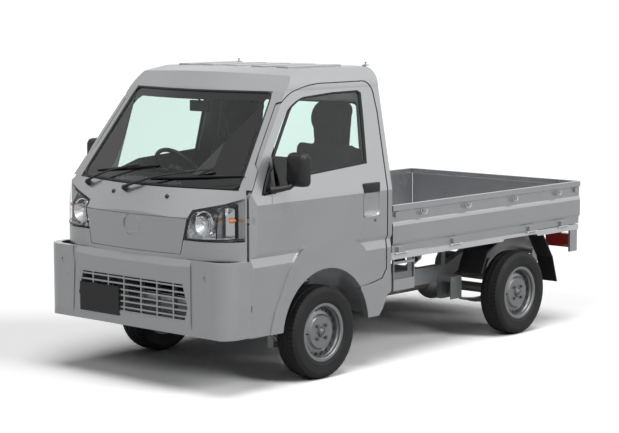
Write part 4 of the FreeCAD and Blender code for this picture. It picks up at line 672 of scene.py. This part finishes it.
def lamp_rubber(name, side):
    """Seal from behind the lamp's outer corner, under, inboard of and over it."""
    skin = Skin("headlamp_lenses", "cab_nose", "front_lid")
    front = [(y * side, z) for y, z in spaced(LAMP_EDGE_FRONT, 14, False)]
    path = skin.from_side(LAMP_EDGE_SIDE, side) + skin.from_front(front)
    mesh_object("lamp_rubber_" + name, *bead(path, 7, 2.2, closed=False), "chassis", "rubber")


# --------------------------------------------------------------------- wipers

# pivot, bend and tip of the arm, then the blade's ends
WIPERS = (((-110, 1090), (60, 1155), (430, 1212), (40, 1152), (640, 1192)),
          ((-511, 1090), (-400, 1150), (-80, 1212), (-505, 1160), (60, 1222)))


def wiper_path(skin, points, rise):
    """Points over the screen, lifted off it by the given heights."""
    out = []
    for (y, z), lift in zip(points, rise):
        point, normal = skin.ahead(y, z)
        out.append(point + normal * lift)
    return out


def wipers():
    """Two arms on their hinge caps, with blades that lie on the glass."""
    skin = Skin("cab_glass", "cab_nose", "cab_side_frames")
    parts = []
    for pivot, bend, tip, blade_in, blade_out in WIPERS:
        count, steps = 14, 24
        arm = []
        for k in range(count + 1):
            t = k / count
            a = Vector(pivot).lerp(Vector(bend), t)
            b = Vector(bend).lerp(Vector(tip), t)
            arm.append(tuple(a.lerp(b, t)))
        lifts = [24 + 8 * math.sin(math.pi * k / count) - 4 * k / count
                 for k in range(count + 1)]
        path = wiper_path(skin, arm, lifts)
        sizes = [9.5 - 5.5 * min(1, k / count * 1.6) for k in range(count + 1)]
        parts.append(swept(path, sizes, 10))
        start, normal = skin.ahead(*pivot)
        parts.append(swept([start - normal * 3, start + normal * 22, start + normal * 30],
                           [17, 16, 11], 20))
        line = [tuple(Vector(blade_in).lerp(Vector(blade_out), k / steps))
                for k in range(steps + 1)]
        parts.append(swept(wiper_path(skin, line, [4] * (steps + 1)), 3.2, 6))
        backing = wiper_path(skin, line, [9 + 3 * math.sin(math.pi * k / steps)
                                          for k in range(steps + 1)])
        parts.append(swept(backing, [2.5 + 3 * math.sin(math.pi * k / steps)
                                     for k in range(steps + 1)], 8))
        middle = len(line) // 2
        parts.append(swept([path[-1], backing[middle]], 5, 8))
    piece = mesh_object("wiper_arms", *merged(*parts), "chassis", "black_plastic")
    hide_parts("wipers")


# --------------------------------------------------------------------- wheels

AXLES = (("front", 876.5, 652.5), ("rear", -1023.5, 650.0))
TYRE_RADIUS = WHEEL_Z = 268.0
TREAD_HALF = 57.0
STEPS_ROUND = 396
LUGS, WAVES = 66, 33
TYRE_WALL = ((160, 56.5), (166, 60.5), (176, 64.5), (186, 67.8), (188, 69.2), (191, 69.4),
             (193, 69.0), (205, 71.6), (218, 72.2), (230, 71.6), (234, 72.2), (237, 71.2),
             (246, 68.2), (252, 65.0), (256.5, 62.2))
TYRE_INSIDE = ((158, 52), (190, 60), (240, 58), (250, 0), (240, -58), (190, -60), (158, -52))
LUG_FOOT, LUG_DEPTH = 240, 2.6


def crown_radius(y):
    """Radius of the tread before it is cut."""
    return TYRE_RADIUS - 4.0 * (abs(y) / 52.5) ** 2


def smooth_step(edge0, edge1, value):
    """From 0 to 1 between two edges, flat at both."""
    t = min(1, max(0, (value - edge0) / (edge1 - edge0)))
    return t * t * (3 - 2 * t)


def tread_depth(angle, y):
    """How far the tread pattern is cut below the crown at a point."""
    depth = 0.0
    wave = abs(((angle * WAVES / (2 * math.pi)) % 1) * 2 - 1) * 2 - 1
    for centre in (-18.5, 18.5):
        off = abs(y - centre - 2.6 * wave)
        depth = max(depth, 6.0 * (1 - smooth_step(2.2, 3.6, off)))
    arc = angle * TYRE_RADIUS
    pitch = 2 * math.pi * TYRE_RADIUS / LUGS
    sweep = 0.35 * (abs(y) - 20)
    phase = 0.5 if y < 0 else 0.0
    off = abs(((arc - sweep) / pitch + phase) % 1 - 0.5) * pitch
    if abs(y) > 33:
        depth = max(depth, 5.5 * (1 - smooth_step(1.8, 3.4, off)))
    elif abs(y) > 23:
        depth = max(depth, 2.6 * (1 - smooth_step(0.8, 2.0, off)))
    elif abs(y) < 13:
        slit = abs((arc / pitch + 0.25 + y * 0.02) % 1 - 0.5) * pitch
        depth = max(depth, 2.4 * (1 - smooth_step(0.6, 1.9, slit)))
    return depth


def wall_point(radius, along, angle):
    """A point of the side wall, cut back between the shoulder's lugs."""
    cut = 0.0
    if radius > LUG_FOOT:
        off = abs((angle / (2 * math.pi / LUGS)) % 1 - 0.5)
        cut = LUG_DEPTH * (1 - smooth_step(0.10, 0.17, off)) * (radius - LUG_FOOT) / 16
    return radius - cut * 0.4, along - cut


def tyre(end, name, x, y):
    """Tyre with its cut tread, shoulder lugs and ringed side walls."""
    tread = [-TREAD_HALF + 2 * TREAD_HALF * k / 44 for k in range(45)]
    rings = []
    for k in range(STEPS_ROUND):
        angle = 2 * math.pi * k / STEPS_ROUND
        c, s = math.cos(angle), math.sin(angle)
        wall = [wall_point(radius, along, angle) for radius, along in TYRE_WALL]
        section = [(radius, -along) for radius, along in wall]
        for along in tread:
            section.append((crown_radius(along) - tread_depth(angle, along)
                            * (1 if abs(along) < 54 else 0.5), along))
        section += wall[::-1]
        section += TYRE_INSIDE
        rings.append([(x + r * c, y + a, WHEEL_Z + r * s) for r, a in section])
    rings.append(rings[0])
    piece = mesh_object("tyre_tread_%s_%s" % (end, name), *loft(rings),
                        "wheel_%s_%s" % (end, name), "tyre_rubber", smooth=False)
    piece.data.shade_smooth()
    piece.data.set_sharp_from_angle(angle=math.radians(48))
    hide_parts("tyre_%s_%s" % (end, name))


def wheel_details(end, name, x, y, side):
    """Valve and centre cap."""
    body = "wheel_%s_%s" % (end, name)
    foot = Vector((x + 112, y + side * 22, WHEEL_Z))
    valve = swept([foot, foot + Vector((4, side * 12, 0)), foot + Vector((6, side * 26, 0))],
                  [4.2, 3.6, 3.0], 10)
    mesh_object("valve_%s_%s" % (end, name), *valve, body, "rubber")
    profile = [(0, 56), (17, 54), (22, 50), (24, 44), (24, 42)]
    cap = spun([(radius, side * along) for radius, along in profile], (x, y, WHEEL_Z), 32)
    mesh_object("hub_cap_%s_%s" % (end, name), *cap, body, "hub_steel")


# ----------------------------------------------------------------- door parts

DOOR_Y = 737.5                          # the door's skin beside the handle
CUP_LEVELS = ((1.2, 0), (0.8, 5), (-10, 12), (-13, 22), (-14, 50))
HINGE_HEIGHTS = (480, 960)
MIRROR_CENTRE = Vector((1212, 822, 1224))
MIRROR_DEPTH, MIRROR_HALF_W, MIRROR_HALF_H = 65, 70, 95


def door_handle(name, side):
    """Black pull-out grip over its scooped recess, and the key cylinder."""
    cup = []
    for level, shrink in CUP_LEVELS:
        x0, x1 = 407 + shrink, 557 - shrink
        z0, z1 = 897 + shrink * 0.8, 1052 - shrink * 0.5
        outline = rounded([(x0, z0), (x1, z0), (x1, z1), (x0, z1)],
                          26 if shrink < 40 else 8, 5)
        cup.append([(x, DOOR_Y + level, z) for x, z in outline])
    vertices, faces = loft(cup)
    base = len(vertices) - len(cup[0])
    faces.append(tuple(range(base, len(vertices))))
    mesh_object("handle_cup_" + name, *on_side((vertices, faces), side), "door_" + name,
                "body_paint")
    grip = block(410, 554, 724, 741, 1036, 1094, 7, 4)
    mesh_object("handle_grip_" + name, *on_side(grip, side), "door_" + name, "black_plastic")
    key = spun([(0, 3.2), (8.5, 3.0), (10.5, 1.5), (11, -3)], (454, DOOR_Y, 876), 28)
    slit = block(452.8, 455.2, 740.2, 741.2, 871, 881, 0.3, 1)
    mesh_object("key_" + name, *on_side(merged(key, slit), side), "door_" + name, "hub_steel")


def hinge_covers(name, side):
    """The door's skin carried over each hinge leaf."""
    skin = Skin("door_" + name)
    covers = []
    for z in HINGE_HEIGHTS:
        corners = skin.from_side([(1431, z - 23), (1486.5, z - 23), (1486.5, z + 23),
                                  (1431, z + 23)], side)
        vertices = [point + normal * 0.7 for point, normal in corners]
        vertices += [point - normal * 1.5 for point, normal in corners]
        covers.append((vertices, [(0, 1, 2, 3), (4, 5, 6, 7), (0, 1, 5, 4), (1, 2, 6, 5),
                                  (2, 3, 7, 6), (3, 0, 4, 7)]))
    mesh_object("hinge_covers_" + name, *merged(*covers), "door_" + name, "body_paint", False)


def mirror(name, side):
    """Door mirror: swelling housing, glass, pivot and arm."""
    rings = []
    centre, rows = MIRROR_CENTRE, 14
    for k in range(rows + 1):
        t = k / rows
        depth = -MIRROR_DEPTH / 2 + MIRROR_DEPTH * t
        bulge = 1.0 if t < 0.35 else math.sqrt(max(0.0, 1 - ((t - 0.35) / 0.66) ** 2.4))
        half_w = MIRROR_HALF_W * (0.60 + 0.40 * bulge)
        half_h = MIRROR_HALF_H * (0.62 + 0.38 * bulge)
        if t == 0:
            half_w, half_h = 68, 93
        ring = rounded([(-half_w, -half_h), (half_w, -half_h * 0.96),
                        (half_w * 0.98, half_h * 0.96), (-half_w * 0.94, half_h)],
                       34 * (0.55 + 0.45 * bulge), 6)
        rings.append([(centre.x + depth, centre.y + a, centre.z + b) for a, b in ring])
    lip = [(x + 7, centre.y + (y - centre.y) * 0.94, centre.z + (z - centre.z) * 0.95)
           for x, y, z in rings[0]]
    vertices, faces = loft([lip] + rings)
    faces.append(tuple(range(len(vertices) - len(rings[0]), len(vertices))))
    arm = swept([(1320, 742, 1118), (1290, 762, 1122), (1244, 790, 1128), (1222, 800, 1148)],
                [17, 15, 14, 16], 14)
    foot = swept([(1330, 736, 1116), (1318, 750, 1118)], [24, 19], 18)
    piece = mesh_object("mirror_housing_" + name,
                        *on_side(merged((vertices, faces), arm, foot), side), "door_" + name,
                        "black_plastic")
    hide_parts("mirror_" + name)
    glass = [(x - 0.5, y, z) for x, y, z in lip]
    mesh_object("mirror_glass_" + name, *on_side((glass, [tuple(range(len(glass)))]), side),
                "door_" + name, "mirror_glass")


# ---------------------------------------------------------------- front parts

def front_parts():
    """Washer nozzles, bumper caps and the edge of the lid's plain recess."""
    nose = Skin("cab_nose", "front_lid", "front_bumper")
    for k, side in enumerate((LEFT, RIGHT)):
        point, normal = nose.ahead(side * 219, 1070)
        nozzle = merged(swept([point - normal * 2, point + normal * 5, point + normal * 9],
                              [13, 12, 7], 18),
                        swept([point + normal * 6, point + normal * 6 + Vector((-12, 0, 6))],
                              3, 8))
        mesh_object("washer_%d" % k, *nozzle, "chassis", "black_plastic")
        point, normal = nose.ahead(side * 584, 653)
        button = swept([point - normal * 3, point + normal * 1.2, point + normal * 1.6],
                       [13.5, 13.5, 10], 28)
        mesh_object("bumper_cap_%d" % k, *button, "chassis", "body_paint")
    ring = spaced(rounded([(-66, 862), (66, 862), (70, 948), (-70, 948)], 34), 9)
    mesh_object("lid_recess_edge", *bead(nose.from_front(ring), 9, 1.6), "chassis",
                "body_paint")


# ------------------------------------------------------------------- interior

def node_islands(name):
    """Separate closed pieces of a CAD node as (vertices in mm, faces)."""
    node = frame["nodes"][name]
    work = bmesh.new()
    work.from_mesh(node.data)
    bmesh.ops.remove_doubles(work, verts=work.verts, dist=1e-6)
    work.verts.ensure_lookup_table()
    seen, islands = set(), []
    for start in work.verts:
        if start.index in seen:
            continue
        group, stack = [], [start]
        seen.add(start.index)
        while stack:
            vertex = stack.pop()
            group.append(vertex)
            for edge in vertex.link_edges:
                other = edge.other_vert(vertex)
                if other.index not in seen:
                    seen.add(other.index)
                    stack.append(other)
        order = {vertex.index: k for k, vertex in enumerate(group)}
        faces = {face for vertex in group for face in vertex.link_faces}
        faces = sorted(faces, key=lambda face: face.index)
        points = [tuple(node.matrix_world @ vertex.co / MM) for vertex in group]
        islands.append((points, [tuple(order[v.index] for v in face.verts)
                                 for face in faces]))
    work.free()
    return islands


PAD_SHRINK, PAD_CAP = 7, 9              # how far the form is drawn in, and puffed at most
PAD_VOXEL = 0.009
PAD_FRAMES = 20
PAD_STIFFNESS, PAD_PRESSURE = 12, 4


def extents(points):
    """Lowest and highest of the points along each axis."""
    return tuple((min(p[k] for p in points), max(p[k] for p in points)) for k in range(3))


def soft_pad(name, part, node):
    """A pad puffed by cloth simulation from a slightly smaller closed form."""
    vertices, faces = part
    spans = extents(vertices)
    middle = [(low + high) / 2 for low, high in spans]
    scale = [1 - 2 * PAD_SHRINK / (high - low) for low, high in spans]
    vertices = [tuple(middle[k] + (p[k] - middle[k]) * scale[k] for k in range(3))
                for p in vertices]
    piece = mesh_object(name, vertices, faces, "chassis", "seat_cloth")
    remesh = piece.modifiers.new("remesh", "REMESH")
    remesh.mode = "VOXEL"
    remesh.voxel_size = PAD_VOXEL
    apply_modifiers(piece)
    start = [vertex.co.copy() for vertex in piece.data.vertices]
    cloth = piece.modifiers.new("cloth", "CLOTH")
    cloth.settings.use_pressure = True
    cloth.settings.uniform_pressure_force = PAD_PRESSURE
    cloth.settings.quality = 5
    cloth.settings.tension_stiffness = PAD_STIFFNESS
    cloth.settings.compression_stiffness = PAD_STIFFNESS
    cloth.settings.effector_weights.gravity = 0
    cloth.point_cache.frame_start, cloth.point_cache.frame_end = 1, PAD_FRAMES
    for number in range(1, PAD_FRAMES + 1):
        bpy.context.scene.frame_set(number)
    apply_modifiers(piece)
    bpy.context.scene.frame_set(1)
    for vertex, place in zip(piece.data.vertices, start):
        moved = vertex.co - place
        if moved.length > PAD_CAP * MM:
            vertex.co = place + moved.normalized() * PAD_CAP * MM
    piece.data.shade_smooth()
    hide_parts(node)


def apply_modifiers(piece):
    """Turn what the modifiers show into the piece's own mesh."""
    graph = bpy.context.evaluated_depsgraph_get()
    mesh = bpy.data.meshes.new_from_object(piece.evaluated_get(graph))
    piece.modifiers.clear()
    old = piece.data
    piece.data = mesh
    bpy.data.meshes.remove(old)


def seats():
    """Cushions and backs, the pad further forward first."""
    for node in ("seat_cushions", "seat_backs"):
        for number, part in enumerate(sorted(node_islands(node),
                                             key=lambda p: -extents(p[0])[1][0])):
            soft_pad("%s_%d" % (node.replace("seat_", "pad_"), number), part, node)


def dash_details():
    """Audio panel, knobs, air vents and the glove box seam."""
    mesh_object("dash_audio", *block(1189, 1197, -106, 106, 905, 1020, 4, 2), "chassis",
                "black_plastic")
    knobs = [spun([(0, -22), (13, -21), (15, -18), (16, 0)], (1194, y, 870), 24, axis="X")
             for y in (-62, 0, 62)]
    mesh_object("dash_knobs", *merged(*knobs), "chassis", "black_plastic")
    slats = []
    for y in (-600, -160, 160, 600):
        for row in range(5):
            z = 985 + row * 10
            slats.append(block(1190, 1197, y - 42, y + 42, z, z + 3, 0.8, 1))
    mesh_object("dash_vents", *merged(*slats), "chassis", "black_plastic")
    seam = [(Vector((1194.6, y, z)), Vector((-1, 0, 0))) for y, z in
            spaced(rounded([(182, 882), (538, 882), (538, 988), (182, 988)], 14), 14)]
    mesh_object("glove_box_seam", *bead(seam, 4, 1.0), "chassis", "rubber")


def mirror_inside():
    """Glass of the inner mirror."""
    glass = rounded([(-166, 1503), (-14, 1503), (-14, 1562), (-166, 1562)], 14, 4)
    points = [(1049.5, y, z) for y, z in glass]
    mesh_object("inner_mirror_glass", points, [tuple(range(len(points)))], "chassis",
                "mirror_glass")


# ------------------------------------------------------------------------ bed

HOOK_PLACES = (-2, -437, -928, -1411)
TAIL_FIELDS = ((502, 560, "amber_lens"), (562, 620, "tail_red"), (622, 676, "clear_lens"))


def gate_hooks():
    """Bent rope hooks under the side rails, in the body's paint."""
    for name, side in SIDES:
        hooks = []
        for x in HOOK_PLACES:
            path = [(x - 26, 733, 896), (x - 26, 737, 884), (x - 20, 736.6, 872),
                    (x, 736.4, 868), (x + 20, 736.6, 872), (x + 26, 737, 884),
                    (x + 26, 733, 896)]
            hooks.append(on_side(swept(path, 4.2, 10), side))
        mesh_object("rope_hooks_" + name, *merged(*hooks), "gate_" + name, "body_paint")


def tail_lamp_details(name, side):
    """Ribbed amber, red and clear fields over the rear lamp."""
    for low, high, look in TAIL_FIELDS:
        ribs = [block(-1665.5, -1662.5, low, high, 506 + 7 * k, 511 + 7 * k, 1.2, 2)
                for k in range(11)]
        mesh_object("tail_%s_%s" % (look, name), *on_side(merged(*ribs), side), "chassis",
                    look)


make_camera()
make_world()
make_studio()
materials = make_materials()
dress_frame(materials)
screen_trim()
rear_window_trim()
wipers()
front_parts()
lamp_housings()
for side_name, side_sign in SIDES:
    door_window_trim(side_name, side_sign)
    headlamp_trim(side_name, side_sign)
    lamp_rubber(side_name, side_sign)
    door_handle(side_name, side_sign)
    hinge_covers(side_name, side_sign)
    mirror(side_name, side_sign)
    tail_lamp_details(side_name, side_sign)
    for end_name, axle_x, wheel_y in AXLES:
        tyre(end_name, side_name, axle_x, side_sign * wheel_y)
        wheel_details(end_name, side_name, axle_x, side_sign * wheel_y, side_sign)
gate_hooks()
seats()
dash_details()
mirror_inside()
